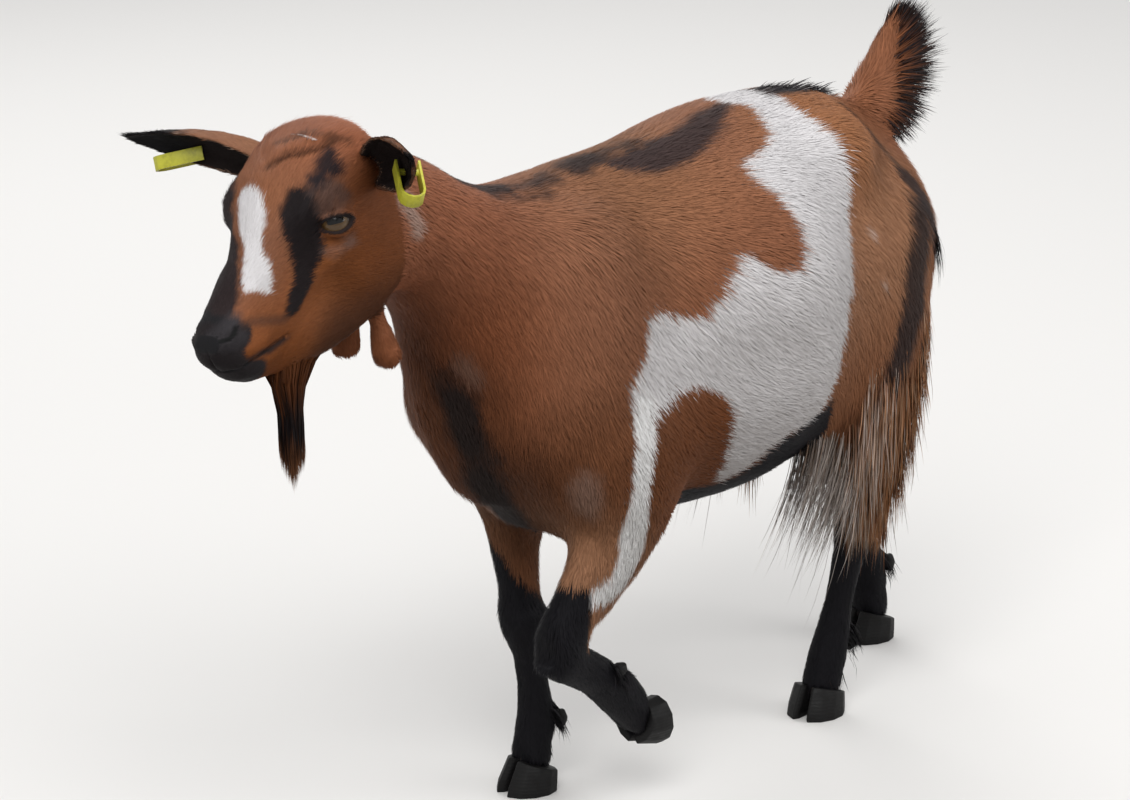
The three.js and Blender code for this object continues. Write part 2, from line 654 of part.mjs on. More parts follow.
for (const name of legNames) {
  const s = name.endsWith("left") ? -1 : 1;
  const leg = LEGS[name];
  const fore = name.startsWith("fore");
  const flesh = blend(12, upperLeg(name), lowerLeg(name));
  const withTrunk = blend(12, blend(40, blend(30, trunk, neck), upperLeg(name)), lowerLeg(name));
  const knee = leg.split
    ? [vec(0, 0, leg.split), vec(0, 0, -1)]
    : [vec(...leg.lower[0].slice(0, 3)).add(vec(4, 0, -8)), vec(0.3, 0, -0.95)];
  const foot = footFrame(leg.foot, s);
  const crown = [CORONET[0].clone().applyMatrix4(foot), CORONET[1].clone().transformDirection(foot)];
  const from = fore ? vec(-290, 20, 120) : vec(90, 4, 150);
  const to = fore ? vec(-70, 160, 400) : vec(380, 170, 560);
  const low = s > 0 ? from : vec(from.x, -to.y, from.z);
  const high = s > 0 ? to : vec(to.x, -from.y, to.z);
  const upper = solid(meshField(withTrunk, low, high, fore ? STEP.arm : STEP.thigh));
  const kept = region([...legRegion(name), turned(knee)]);
  add(name.replace("leg", fore ? "arm" : "thigh"), upper.intersect(kept), own(chestnut));

  // The shank's cells are long in the direction from the knee or hock to the foot.
  const top = vec(...leg.lower[0].slice(0, 3));
  const down = vec(...leg.lower[leg.lower.length - 3].slice(0, 3)).sub(top).normalize();
  const across = vec(0, 1, 0).cross(down).normalize();
  const along = new THREE.Matrix4().makeBasis(across, down.clone().cross(across), down).setPosition(top);
  let lower = solid(meshField(flesh, vec(-60, -44, -44), vec(60, 44, 200), STEP.shin, along));
  lower = lower.intersect(region([knee, turned(crown)]));

  for (const [place, t] of [["inner", -s], ["outer", s]]) {
    const out = new THREE.Matrix4().makeRotationZ(THREE.MathUtils.degToRad(-leg.foot.spread * 0.5 * t));
    const stance = foot.clone().multiply(out);
    const rings = clawRings().map((ring) =>
      ring.map((p) => vec(p.x, -t * (p.y + 0.28 * leg.foot.spread), p.z).applyMatrix4(stance)));
    add(`${name.replace("leg", "claw")}_${place}`, loft(rings).intersect(beyond(...crown)), own(horn));

    // A dewclaw in a pocket behind the fetlock.
    const fetlock = leg.lower[leg.lower.length - 3];
    const behind = vec(-1, 0, 0).transformDirection(foot);
    const aside = vec(0, -t, 0).transformDirection(foot);
    const at = vec(...fetlock.slice(0, 3)).addScaledVector(behind, fetlock[4]).addScaledVector(aside, 10);
    const nub = (extra) => solid(new THREE.SphereGeometry(1, 6, 5)
      .scale(7 + extra, 6 + extra, 9.5 + extra).applyMatrix4(foot.clone().setPosition(at)));
    add(`${name.replace("leg", "dewclaw")}_${place}`, nub(0), own(horn));
    lower = lower.subtract(nub(1.6 * GAP));
  }
  add(name.replace("leg", "shank"), lower, own(black));
}

// ---------------------------------------------------------------- tail
const dock = limb([
  [244, 0, 498, 24, 26],
  [268, 0, 540, 20, 21],
  [286, 0, 572, 14, 15],
  [298, 0, 600, 8, 9],
]);
// The brush of long hair stands behind the dock like a fan.
const brush = limb([
  [300, 0, 498, 7, 14],
  [322, 0, 528, 9, 34],
  [333, 0, 560, 10, 43],
  [328, 0, 588, 8, 34],
  [315, 0, 610, 6, 14],
]);
const tailSolid = solid(meshField(blend(16, trunk, dock), vec(190, -60, 440), vec(350, 60, 650), STEP.tail));
const tailCut = [vec(256, 0, 523), vec(0.45, 0, 0.89)];
add("tail", tailSolid.intersect(beyond(...tailCut)), own(chestnut));
const seatField = grown(blend(16, trunk, dock), 0.8);
const tailSeat = solid(meshField(seatField, vec(190, -60, 440), vec(350, 60, 650), STEP.tail));
const brushSolid = solid(meshField(brush, vec(250, -40, 460), vec(410, 40, 660), [16, 9, 17]));
add("tail_brush", brushSolid.subtract(tailSeat), own(black));
trunkSolid = trunkSolid.subtract(beyond(...tailCut, -GAP / 2).intersect(
  solid(new THREE.BoxGeometry(200, 90, 200).translate(300, 0, 560))));
add("trunk", trunkSolid, own(chestnut));

// ---------------------------------------------------------------- ear tags
// A loop tag: a band folded over the ear's lower edge, with a pin through the ear. The pin's place is a
// share of the ear's length and an angle round its crescent; the band leaves the ear's line by a slant.
function loopTag({ t, front, up, root, at }, share, angle, slant) {
  const [width, depth, thick] = at(share);
  const a = THREE.MathUtils.degToRad(angle);
  const pinAt = root.clone().addScaledVector(t, share * EAR_LENGTH)
    .addScaledVector(front, -(depth - thick / 2) * Math.cos(a))
    .addScaledVector(up, (width - thick / 2) * Math.sin(a));
  const edge = front.clone().multiplyScalar(depth * Math.abs(Math.sin(a)))
    .addScaledVector(up, Math.sign(a) * width * Math.cos(a)).normalize();
  const s = THREE.MathUtils.degToRad(slant);
  const along = t.clone().multiplyScalar(Math.cos(s)).addScaledVector(edge, Math.sin(s)).normalize();
  const across = along.clone().cross(t.clone().cross(edge)).normalize();
  const axes = new THREE.Matrix4().makeBasis(along, across.clone().cross(along), across).setPosition(pinAt);
  const outline = (grow) => {
    const bend = Array.from({ length: 7 }, (_, i) => {
      const turn = Math.PI / 2 - (Math.PI * i) / 6;
      const out = TAG.open + grow;
      return [TAG.length - 8 - TAG.open + out * Math.cos(turn), out * Math.sin(turn)];
    });
    return [[-8, TAG.open + grow], ...bend, [-8, -TAG.open - grow]];
  };
  const loop = [...outline(TAG.leaf), ...outline(0).reverse()];
  const shape = new THREE.Shape(loop.map(([x, y]) => new THREE.Vector2(x, y)));
  const band = new THREE.ExtrudeGeometry(shape, { depth: TAG.width, bevelEnabled: false });
  band.translate(0, 0, -TAG.width / 2);
  const pin = (r) => solid(new THREE.CylinderGeometry(r, r, 2 * TAG.open + 1.2, 10).applyMatrix4(axes));
  return { band: solid(band.applyMatrix4(axes)), pin };
}
const TAG_PLACES = { left: [0.37, 42, 46], right: [0.61, -72, 26] }; // share, angle and slant
for (const [side, place] of Object.entries(TAG_PLACES)) {
  const made = ears[side];
  const tag = loopTag(made, ...place);
  add(`ear_${side}`, made.shape.subtract(tag.pin(2.6 + 1.3 * GAP)), own(chestnut));
  add(`ear_tag_${side}`, tag.band.add(tag.pin(2.6)), own(tagPlastic));
  add(`eye_${side}`, eyes[side].ball, own(eyeball));
}

// ---------------------------------------------------------------- beard and wattles
const throatSeat = solid(meshHead(grown(neckAndHead, 1)));
const beard = limb([
  [-479, -38, 476, 14, 33],
  [-484, -38, 448, 12, 24],
  [-485, -37, 426, 10, 15.5],
  [-484, -36, 404, 8, 10.5],
  [-482, -35, 380, 7, 8.5],
  [-481, -35, 356, 6, 7],
]);
const beardSolid = solid(meshField(beard, vec(-560, -70, 330), vec(-440, 0, 530), STEP.tuft));
add("beard", beardSolid.subtract(throatSeat), own(chestnut));
for (const [side, top, tip] of [
  ["left", vec(-390, -34, 488), vec(-386, -43, 446)],
  ["right", vec(-380, 3, 490), vec(-384, 5, 444)],
]) {
  const teat = limb([
    [...top.toArray(), 6, 6],
    [...top.clone().lerp(tip, 0.55).toArray(), 7, 7],
    [...tip.toArray(), 10, 10],
  ]);
  const low = tip.clone().subScalar(24).min(top.clone().subScalar(24));
  const high = tip.clone().addScalar(24).max(top.clone().addScalar(24));
  add(`wattle_${side}`, solid(meshField(teat, low, high, STEP.teat)).subtract(throatSeat), own(chestnut));
}

// ---------------------------------------------------------------- one frame
// The origin goes to the middle of the whole goat's box, on the floor.
const bounds = new THREE.Box3().setFromObject(group);
const middle = bounds.getCenter(vec(0, 0, 0));
for (const mesh of group.children) mesh.geometry.translate(-middle.x, -middle.y, -bounds.min.z);
export default group;
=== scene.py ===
# %% [markdown]
# # A dwarf goat in mid-walk
# The goat is a still, life-size model, as a museum shows one. Its solids come packed in one frame, in
# metres: the goat faces -X, its left side is -Y, and the floor is z = 0. This lesson dresses those solids:
# one skin over all the flesh, a coat of short hair on the skin, long hair where the goat has it, and
# finished eyes, hooves and ear tags.

# %% Load the frame
import json
import math
import bpy
import numpy as np
from mathutils import Matrix, Vector
from mathutils.bvhtree import BVHTree

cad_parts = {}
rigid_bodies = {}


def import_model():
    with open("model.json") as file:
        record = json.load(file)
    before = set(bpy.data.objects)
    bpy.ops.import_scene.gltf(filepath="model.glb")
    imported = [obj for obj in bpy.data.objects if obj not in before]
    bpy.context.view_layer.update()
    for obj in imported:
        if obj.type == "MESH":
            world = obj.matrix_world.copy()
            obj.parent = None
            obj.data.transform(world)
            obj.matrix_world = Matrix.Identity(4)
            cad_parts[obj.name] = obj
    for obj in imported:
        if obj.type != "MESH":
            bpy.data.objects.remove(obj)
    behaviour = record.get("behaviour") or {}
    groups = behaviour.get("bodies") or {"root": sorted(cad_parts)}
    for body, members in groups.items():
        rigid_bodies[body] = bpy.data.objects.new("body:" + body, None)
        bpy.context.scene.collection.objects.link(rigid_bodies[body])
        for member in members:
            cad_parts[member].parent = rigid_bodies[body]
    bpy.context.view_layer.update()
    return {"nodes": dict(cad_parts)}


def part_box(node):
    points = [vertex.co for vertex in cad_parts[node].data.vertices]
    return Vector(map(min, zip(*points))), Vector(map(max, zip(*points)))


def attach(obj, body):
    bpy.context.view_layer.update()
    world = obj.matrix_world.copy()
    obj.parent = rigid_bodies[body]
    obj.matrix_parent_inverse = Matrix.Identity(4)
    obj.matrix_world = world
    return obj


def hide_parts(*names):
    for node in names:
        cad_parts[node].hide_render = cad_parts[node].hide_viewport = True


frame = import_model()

scene = bpy.context.scene

# %% [markdown]
# ## The goat's own measure
# A body is easiest to describe in millimetres from a fixed point of the animal. Here that point is on the
# floor under the barrel. The solids were centred on their box, so the shift between the two is read from
# the eyes, whose place in the goat's own measure is known. The head has axes of its own, with their
# origin between the brows: u runs to the nose, v to the goat's left and w out of the forehead.

# %% The goat's axes and the head's
BROWS_MID = np.array([-468.0, -24.0, 570.0])   # the head's origin, in the goat's millimetres
HEAD_YAW, HEAD_PITCH, HEAD_ROLL = np.radians([7, 37, 8])
LEFT_EYE = np.array([-3.0, 41.0, -5.0])        # centre of the left eyeball, in head axes
EYE_RADIUS = 14


def box_middle(node):
    """The middle of a solid's box, in metres."""
    low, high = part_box(node)
    return np.array(low + high) / 2


def turned(vector, axis, angle):
    """A vector turned round an axis, by the right-hand rule."""
    along = axis * (vector @ axis)
    return along + (vector - along) * math.cos(angle) + np.cross(axis, vector) * math.sin(angle)


UP = np.array([0.0, 0.0, 1.0])
AHEAD = np.array([-math.cos(HEAD_YAW), -math.sin(HEAD_YAW), 0.0])
LEFTWARD = np.array([math.sin(HEAD_YAW), -math.cos(HEAD_YAW), 0.0])
HEAD_U = AHEAD * math.cos(HEAD_PITCH) - UP * math.sin(HEAD_PITCH)
HEAD_V = turned(LEFTWARD, HEAD_U, HEAD_ROLL)
HEAD_W = turned(AHEAD * math.sin(HEAD_PITCH) + UP * math.cos(HEAD_PITCH), HEAD_U, HEAD_ROLL)
HEAD_AXES = np.array([HEAD_U, HEAD_V, HEAD_W])


def in_head(u, v, w):
    """A point given in head axes, in the goat's millimetres."""
    return BROWS_MID + np.array([u, v, w], float) @ HEAD_AXES


def head_coords(points):
    """Points in the goat's millimetres, as u, v and w."""
    return (points - BROWS_MID) @ HEAD_AXES.T


EYES = {"left": in_head(*LEFT_EYE), "right": in_head(*LEFT_EYE * (1, -1, 1))}
SHIFT = (box_middle("eye_left") + box_middle("eye_right")) / 2 * 1000 - (EYES["left"] + EYES["right"]) / 2
print("shift in mm", SHIFT.round(2))

# %% [markdown]
# ## Meshes as tables
# Thousands of points are quick to move when they are read as one table, changed together and written
# back. These helpers read and write points and normals in the goat's own measure.

# %% Read and write a mesh's points
def to_metres(points):
    """Points in the goat's millimetres, in the frame's metres."""
    return (np.asarray(points, float) + SHIFT) / 1000


def rows(items, name, width, kind=np.float32):
    """One property of all items of a mesh, a row for each."""
    found = np.empty(len(items) * width, kind)
    items.foreach_get(name, found)
    return found.reshape(-1, width)


def points_of(obj):
    """An object's vertices in the goat's millimetres."""
    return rows(obj.data.vertices, "co", 3).astype(float) * 1000 - SHIFT


def put_points(obj, points):
    """Moves an object's vertices to points in the goat's millimetres."""
    obj.data.vertices.foreach_set("co", to_metres(points).astype(np.float32).ravel())
    obj.data.update()


def normals_of(obj):
    """The directions in which the surface faces at an object's vertices."""
    return rows(obj.data.vertices, "normal", 3).astype(float)


def unit(vectors):
    """Vectors, or one vector, made 1 long."""
    vectors = np.asarray(vectors, float)
    return vectors / np.maximum(np.linalg.norm(vectors, axis=-1, keepdims=True), 1e-9)


trunk_heights = points_of(frame["nodes"]["trunk"])[:, 2]
print("the trunk reaches from", trunk_heights.min().round(1), "to", trunk_heights.max().round(1), "mm")

# %% [markdown]
# ## Camera
# The camera stands where someone who meets the goat would: 3.5 m off, in front of its left shoulder and
# well above it, looking down a little. A long lens keeps the legs upright.

# %% Camera
CAMERA_TURN = math.radians(49)      # how far round from the goat's left side
CAMERA_AWAY, CAMERA_HIGH = 3500, 1352                               # millimetres
CAMERA_PAN, CAMERA_TILT, CAMERA_ROLL = -0.02614, 0.28735, -0.00884  # radians
LENS_MM, SENSOR_MM = 136.27, 36
SIGHT_LIMIT = 60                    # metres
aim = CAMERA_TURN + CAMERA_PAN
gaze = Vector((math.sin(aim) * math.cos(CAMERA_TILT), math.cos(aim) * math.cos(CAMERA_TILT),
               -math.sin(CAMERA_TILT)))
level = Vector((math.cos(aim), -math.sin(aim), 0))
upright = level.cross(gaze)
right = level * math.cos(CAMERA_ROLL) + upright * math.sin(CAMERA_ROLL)
upright = right.cross(gaze)
camera = bpy.data.objects.new("camera", bpy.data.cameras.new("camera"))
scene.collection.objects.link(camera)
stand = to_metres([-math.sin(CAMERA_TURN) * CAMERA_AWAY, -math.cos(CAMERA_TURN) * CAMERA_AWAY, CAMERA_HIGH])
camera.matrix_world = Matrix((
    (right.x, upright.x, -gaze.x, stand[0]),
    (right.y, upright.y, -gaze.y, stand[1]),
    (right.z, upright.z, -gaze.z, stand[2]),
    (0, 0, 0, 1)))
camera.data.lens = LENS_MM
camera.data.sensor_width = SENSOR_MM
camera.data.clip_end = SIGHT_LIMIT
scene.camera = camera
scene.view_settings.view_transform = "Standard"
print("camera at", [round(v, 3) for v in camera.location])

# %% [markdown]
# ## Colours and materials by code
# A colour is easiest to name as people see it, as an sRGB hex code, but Blender mixes light, so each code
# is turned to linear values. Materials are trees of nodes: one small function adds a node, with its
# settings and links, and another starts a material from the Principled shader.

# %% Colours and nodes
def linear(code):
    """An sRGB hex colour such as #8f5a3f, in the linear values that Blender works in, with alpha 1."""
    parts = [int(code[i:i + 2], 16) / 255 for i in (1, 3, 5)]
    return (*(c / 12.92 if c <= 0.04045 else ((c + 0.055) / 1.055) ** 2.4 for c in parts), 1.0)


def rgb(code):
    """The same without alpha, as an array to reckon with."""
    return np.array(linear(code)[:3])


def node(tree, kind, settings=None, **inputs):
    """Adds a node. Settings are its properties and a ramp's stops; inputs are numbers, hex colours, nodes
    or sockets, each under its socket's name (spaces as _) or its number after a _. In a Mix of colours,
    input 0 is the share, 6 and 7 are the two colours, and output 2 is the result."""
    made = tree.nodes.new("ShaderNode" + kind)
    for key, value in (settings or {}).items():
        if key == "stops":
            while len(made.color_ramp.elements) < len(value):
                made.color_ramp.elements.new(0.5)
            for element, (position, code) in zip(made.color_ramp.elements, value):
                element.position, element.color = position, linear(code)
        else:
            setattr(made, key, value)
    for key, value in inputs.items():
        socket = made.inputs[int(key[1:]) if key[0] == "_" else key.replace("_", " ")]
        if isinstance(value, bpy.types.Node):
            value = value.outputs[0]
        if isinstance(value, bpy.types.NodeSocket):
            tree.links.new(value, socket)
        else:
            socket.default_value = linear(value) if isinstance(value, str) else value
    return made


def new_material(name, **settings):
    """A material with a Principled shader whose constant values are set on its own sockets."""
    material = bpy.data.materials.new(name)
    material.use_nodes = True
    shader = material.node_tree.nodes["Principled BSDF"]
    for key, value in settings.items():
        shader.inputs[key.replace("_", " ")].default_value = value
    return material, material.node_tree, shader


print("mid grey #808080 is", round(linear("#808080")[0], 3), "in linear light")

# %% [markdown]
# ## A pale room
# A big soft box high on the left and a pale room give the flat light of an overcast day. The floor is
# plain. What the camera and reflections see of the room is nearly white, while the light that it gives is
# set apart from that and weaker, so that the goat keeps its own colours.

# %% Floor, room and lamps
FLOOR_SIZE = 14                     # metres
LAMP_AIM = Vector((0, 0, 0.35))     # the middle of the goat, in metres
floor_material, tree, shader = new_material("studio_floor", Roughness=0.9)
rays = node(tree, "LightPath")
seen = node(tree, "Math", {"operation": "MAXIMUM"},
            _0=rays.outputs["Is Camera Ray"], _1=rays.outputs["Is Glossy Ray"])
# The first colour is what the floor throws back at the belly, the second what is seen of it.
tone = node(tree, "Mix", {"data_type": "RGBA"}, _0=seen, _6="#6d665e", _7="#e9e7e4")
tree.links.new(tone.outputs[2], shader.inputs["Base Color"])
bpy.ops.object.select_all(action="DESELECT")
bpy.ops.mesh.primitive_plane_add(size=FLOOR_SIZE, location=(0, 0, 0))
floor = bpy.context.object
floor.name = "studio_floor"
floor.data.materials.append(floor_material)

world = bpy.data.worlds.new("pale_room")
scene.world = world
world.use_nodes = True
tree = world.node_tree
tree.nodes.clear()
rays = node(tree, "LightPath")
seen = node(tree, "Math", {"operation": "MAXIMUM"},
            _0=rays.outputs["Is Camera Ray"], _1=rays.outputs["Is Glossy Ray"])
seen = node(tree, "Math", {"operation": "MAXIMUM"}, _0=seen, _1=rays.outputs["Is Transmission Ray"])
room = node(tree, "Background", Color="#f4f5f7", Strength=0.66)
backdrop = node(tree, "Background", Color="#ececea", Strength=1.0)
node(tree, "OutputWorld", Surface=node(tree, "MixShader", _0=seen, _1=room, _2=backdrop))


def soft_box(name, place, size, power):
    """A square lamp that faces the middle of the goat."""
    lamp = bpy.data.objects.new(name, bpy.data.lights.new(name, "AREA"))
    lamp.data.energy = power
    lamp.data.size = size
    lamp.location = place
    lamp.rotation_euler = (LAMP_AIM - Vector(place)).to_track_quat("-Z", "Y").to_euler()
    scene.collection.objects.link(lamp)


# Place and size in metres, power in watts.
soft_box("key_soft_box", (-2.2, -1.8, 3.4), 2.4, 104)
soft_box("fill_soft_box", (1.8, -2.6, 1.8), 2.0, 29)
soft_box("rear_soft_box", (1.5, 2.4, 2.6), 2.0, 34)

# %% [markdown]
# ## The skin
# On the animal one hide runs from the lips to the hooves. The solids are separate and faceted, so copies
# of them are joined, swollen by a hair so that they touch, and remeshed into one body of small even faces,
# as clay pieces are pressed together. The facets are then smoothed away: hard on the broad barrel, gently
# on the thin legs, which would shrink.

# %% What is flesh, and how the ears run
FLESH_KINDS = ("head", "neck", "trunk", "tail", "wattle", "forearm", "foreshank", "hindthigh", "hindshank")
FLESH = [name for name in frame["nodes"] if name.split("_")[0] in FLESH_KINDS and name != "tail_brush"]
EAR_LENGTH = 134
BLACK_FROM = {"ear_left": (0.84, 0.96), "ear_right": (0.56, 0.7)}      # shares of the ear's length


def ear_line(root, along, opening):
    """An ear's root, the way it points and the way its hollow side faces."""
    along = unit(along)
    return root, along, unit(opening - along * (np.asarray(opening) @ along))


EAR_LINES = {"ear_left": ear_line(in_head(-59, 39.5, -9), (-0.5, -0.8, 0.3), (-0.62, 0.3, -0.35)),
             "ear_right": ear_line(in_head(-56, -44, -12), (-0.48, 0.86, 0.2), (-0.7, -0.2, -0.68))}
print("solids of flesh:", len(FLESH))


# %% Helpers that work on a mesh as by hand
def select_only(*objects):
    """Selects these objects and nothing else, and makes the first one active."""
    bpy.ops.object.select_all(action="DESELECT")
    for obj in objects:
        obj.select_set(True)
    bpy.context.view_layer.objects.active = objects[0]


def edit(operator, **settings):
    """Runs one of edit mode's operators on the whole of the active mesh."""
    bpy.ops.object.mode_set(mode="EDIT")
    bpy.ops.mesh.select_all(action="SELECT")
    operator(**settings)
    bpy.ops.object.mode_set(mode="OBJECT")


def copy_nodes(names, name):
    """Copies of CAD nodes joined into one new mesh, with their loose triangles merged."""
    select_only(*[frame["nodes"][n] for n in names])
    bpy.ops.object.duplicate()
    if len(names) > 1:
        bpy.ops.object.join()
    made = bpy.context.object
    bpy.ops.object.parent_clear(type="CLEAR_KEEP_TRANSFORM")
    made.name = made.data.name = name
    made.data.materials.clear()
    for key in list(made.keys()):
        del made[key]
    edit(bpy.ops.mesh.remove_doubles, threshold=MERGE)
    return made


def apply_modifier(obj, kind, **settings):
    """Adds a modifier with its settings and applies it at once."""
    select_only(obj)
    modifier = obj.modifiers.new(kind.lower(), kind)
    for key, value in settings.items():
        setattr(modifier, key, value)
    bpy.ops.object.modifier_apply(modifier=modifier.name)


def voxel_remesh(obj, voxel):
    """Makes a mesh anew from small even faces; pieces that overlap become one."""
    select_only(obj)
    obj.data.remesh_voxel_size = voxel
    obj.data.remesh_voxel_adaptivity = 0
    bpy.ops.object.voxel_remesh()


# %% The flesh as one mesh
MERGE, SWELL, SKIN_VOXEL = 0.00002, 0.0005, 0.0054      # metres
STUMP = 10                                              # mm of each ear that stay with the head
skin = copy_nodes(FLESH + ["eye_left", "eye_right"], "skin")
ear_roots = []
for name, (root, along, _) in EAR_LINES.items():
    ear_roots.append(copy_nodes([name], name + "_root"))
    edit(bpy.ops.mesh.bisect, plane_co=to_metres(root + STUMP * along), plane_no=along, use_fill=True,
         clear_outer=True)
select_only(skin, *ear_roots)
bpy.ops.object.join()
apply_modifier(skin, "DISPLACE", strength=SWELL, mid_level=0.0)
voxel_remesh(skin, SKIN_VOXEL)
print("skin faces:", len(skin.data.polygons))

# %% [markdown]
# ## Which part is this, and how far off the solids?
# Hair, smoothing and fat differ from part to part. One search tree over the solids tells which solid is
# the nearest to a point, and another over the joined lump tells how far above it a point lies.

# %% Search trees and smooth fields
def triangles_of(obj):
    """The three vertices of each triangle."""
    obj.data.calc_loop_triangles()
    return rows(obj.data.loop_triangles, "vertices", 3, np.int32)


def edges_of(obj):
    """The two vertices of each edge."""
    return rows(obj.data.edges, "vertices", 2, np.int32)


def nearest_solid(points, names):
    """For each point, the place in names of the nearest CAD node."""
    corners, faces, owner, start = [], [], [], 0
    for index, name in enumerate(names):
        solid = frame["nodes"][name]
        corners.append(points_of(solid))
        tris = triangles_of(solid)
        faces.append(tris + start)
        owner += [index] * len(tris)
        start += len(corners[-1])
    tree = BVHTree.FromPolygons(np.concatenate(corners).tolist(), np.concatenate(faces).tolist())
    return np.array([owner[tree.find_nearest(p)[2]] for p in points.tolist()])


def tree_of(obj):
    """A search tree over an object's triangles, in the goat's millimetres."""
    return BVHTree.FromPolygons(points_of(obj).tolist(), triangles_of(obj).tolist())


def height_above(tree, points):
    """Signed distance of points above a closed surface, in millimetres."""
    heights = np.empty(len(points))
    for i, p in enumerate(points.tolist()):
        place, normal, _, far = tree.find_nearest(p)
        heights[i] = math.copysign(far, (Vector(p) - place).dot(normal))
    return heights


def evened(values, edges, rounds):
    """A field over a mesh, made even by moving each value towards its neighbours' mean again and again."""
    values = np.array(values, float)
    flat = values.reshape(len(values), -1)
    links = np.bincount(edges.ravel(), minlength=len(flat))
    for _ in range(rounds):
        for column in flat.T:
            total = np.bincount(edges[:, 0], column[edges[:, 1]], len(flat))
            total += np.bincount(edges[:, 1], column[edges[:, 0]], len(flat))
            column += 0.6 * (total / np.maximum(links, 1) - column)
    return flat.reshape(values.shape)


raw_tree = tree_of(skin)
points = points_of(skin)
edges = edges_of(skin)
owner = nearest_solid(points, FLESH)
print("points nearest to the trunk:", int((owner == FLESH.index("trunk")).sum()), "of", len(points))

# %% [markdown]
# ## Smoothing without thinning
# Smoothing pulls every bulge in, so a smoothed leg would be too thin. After it, the skin is therefore
# moved along its normals, back to the solids' mean surface less the depth of the coat that will grow
# there: 4 mm on the barrel, next to nothing on the face. The thin wattles are made thicker instead.

# %% Smooth the lump and set it under the coat
#                rounds of smoothing, coat depth in mm
PARTS = {"trunk": (55, 4.0), "neck": (40, 3.4), "head": (7, 1.3), "tail": (8, 2.5), "wattle": (2, -2.4),
         "forearm": (16, 2.6), "hindthigh": (20, 3.2), "foreshank": (4, 1.3), "hindshank": (4, 1.3)}
MOST_ROUNDS = 55                 # a place with this many rounds takes part in full, others by their share
kinds = [name.split("_")[0] for name in FLESH]
rounds = evened(np.array([PARTS[k][0] for k in kinds])[owner], edges, 6)
weights = np.clip(rounds / MOST_ROUNDS, 0.06, 1)
broad = skin.vertex_groups.new(name="broad")
for level in np.arange(0.05, 1.01, 0.05):
    broad.add(np.nonzero(np.abs(weights - level) <= 0.0251)[0].tolist(), float(level), "REPLACE")
for _ in range(3):
    apply_modifier(skin, "SMOOTH", factor=0.5, iterations=18, vertex_group="broad")
skin.vertex_groups.clear()
depth = evened(np.array([PARTS[k][1] for k in kinds])[owner], edges, 12)
points = points_of(skin)
height = evened(height_above(raw_tree, points), edges, 24)
points -= normals_of(skin) * (height + depth)[:, None]
put_points(skin, points)
print("skin moved by", round(float(np.abs(height).max()), 1), "mm at most; vertices", len(points))

# %% [markdown]
# ## Finer faces where the forms are small
# Faces of 5 mm are right for a barrel and far too big for an eyelid. The head is subdivided once, the
# places of the eyes, nostrils and lips twice more, and each time the new points are eased onto the curve.

# %% Subdivide the head, eyes, nostrils and lips
def subdivide_where(obj, chosen_points, rounds=2):
    """Subdivides the faces whose points are all chosen, then eases the new points."""
    select_only(obj)
    bpy.ops.object.mode_set(mode="EDIT")
    bpy.ops.mesh.select_mode(type="VERT")
    bpy.ops.mesh.select_all(action="DESELECT")
    bpy.ops.object.mode_set(mode="OBJECT")
    obj.data.vertices.foreach_set("select", chosen_points)
    bpy.ops.object.mode_set(mode="EDIT")
    bpy.ops.mesh.select_mode(type="VERT")
    bpy.ops.mesh.select_mode(type="FACE")
    bpy.ops.mesh.subdivide(number_cuts=1)
    bpy.ops.mesh.vertices_smooth(factor=0.5, repeat=rounds)
    bpy.ops.object.mode_set(mode="OBJECT")


def near_any(points, places, reach):
    """Whether each point lies within reach of one of the places."""
    found = np.zeros(len(points), bool)
    for place in places:
        found |= np.linalg.norm(points - np.asarray(place, float), axis=1) < reach
    return found


LIP_PLACES = [(126, 0, -22), (122, 20, -30), (122, -20, -30), (106, 24, -36), (106, -24, -36), (128, 0, -4),
              (112, 18, 0), (112, -18, 0), (94, 24, -40), (94, -24, -40), (122, 0, -40)]
head = head_coords(points_of(skin))
on_head = (head[:, 0] > -62) & (np.linalg.norm(head - (20, 0, -20), axis=1) < 125)
subdivide_where(skin, on_head, 3)
lid_middle = LEFT_EYE + (2, 4, 2)
for round_eye, round_lip in ((28, 17), (22, 12)):       # reach in mm, first wide and then close
    head = head_coords(points_of(skin))
    subdivide_where(skin, near_any(head, (lid_middle, lid_middle * (1, -1, 1)), round_eye)
                    | near_any(head, LIP_PLACES, round_lip))
print("skin faces:", len(skin.data.polygons))

# %% [markdown]
# ## Sculpting the face
# Each form is a stroke of a soft brush along a few points: it lifts or sinks the skin along its normals,
# most on the line and fading to nothing a few millimetres to each side. Each stroke is made once for the
# left side and once mirrored, because a skull is symmetrical even when its markings are not.

# %% Brush strokes on the head
def distance_to_path(points, path):
    """Distance of each point to a chain of straight lines."""
    path = np.asarray(path, float)
    least = np.full(len(points), np.inf)
    for a, b in zip(path, path[1:]):
        along = b - a
        share = np.clip((points - a) @ along / (along @ along), 0, 1)
        least = np.minimum(least, np.linalg.norm(points - a - share[:, None] * along, axis=1))
    return least


def brush(obj, strokes):
    """Moves points along their normals. A stroke is (height in mm, half width in mm, path in head axes)."""
    for height, width, path in strokes:
        path = np.asarray(path, float)
        sides = [path, path * (1, -1, 1)] if np.abs(path[:, 1]).max() > 0.5 else [path]
        points = points_of(obj)
        lift = np.zeros(len(points))
        for side in sides:
            far = distance_to_path(head_coords(points), side)
            lift = np.maximum(lift, np.exp(-(far / width) ** 2))
        put_points(obj, points + normals_of(obj) * (lift * height)[:, None])


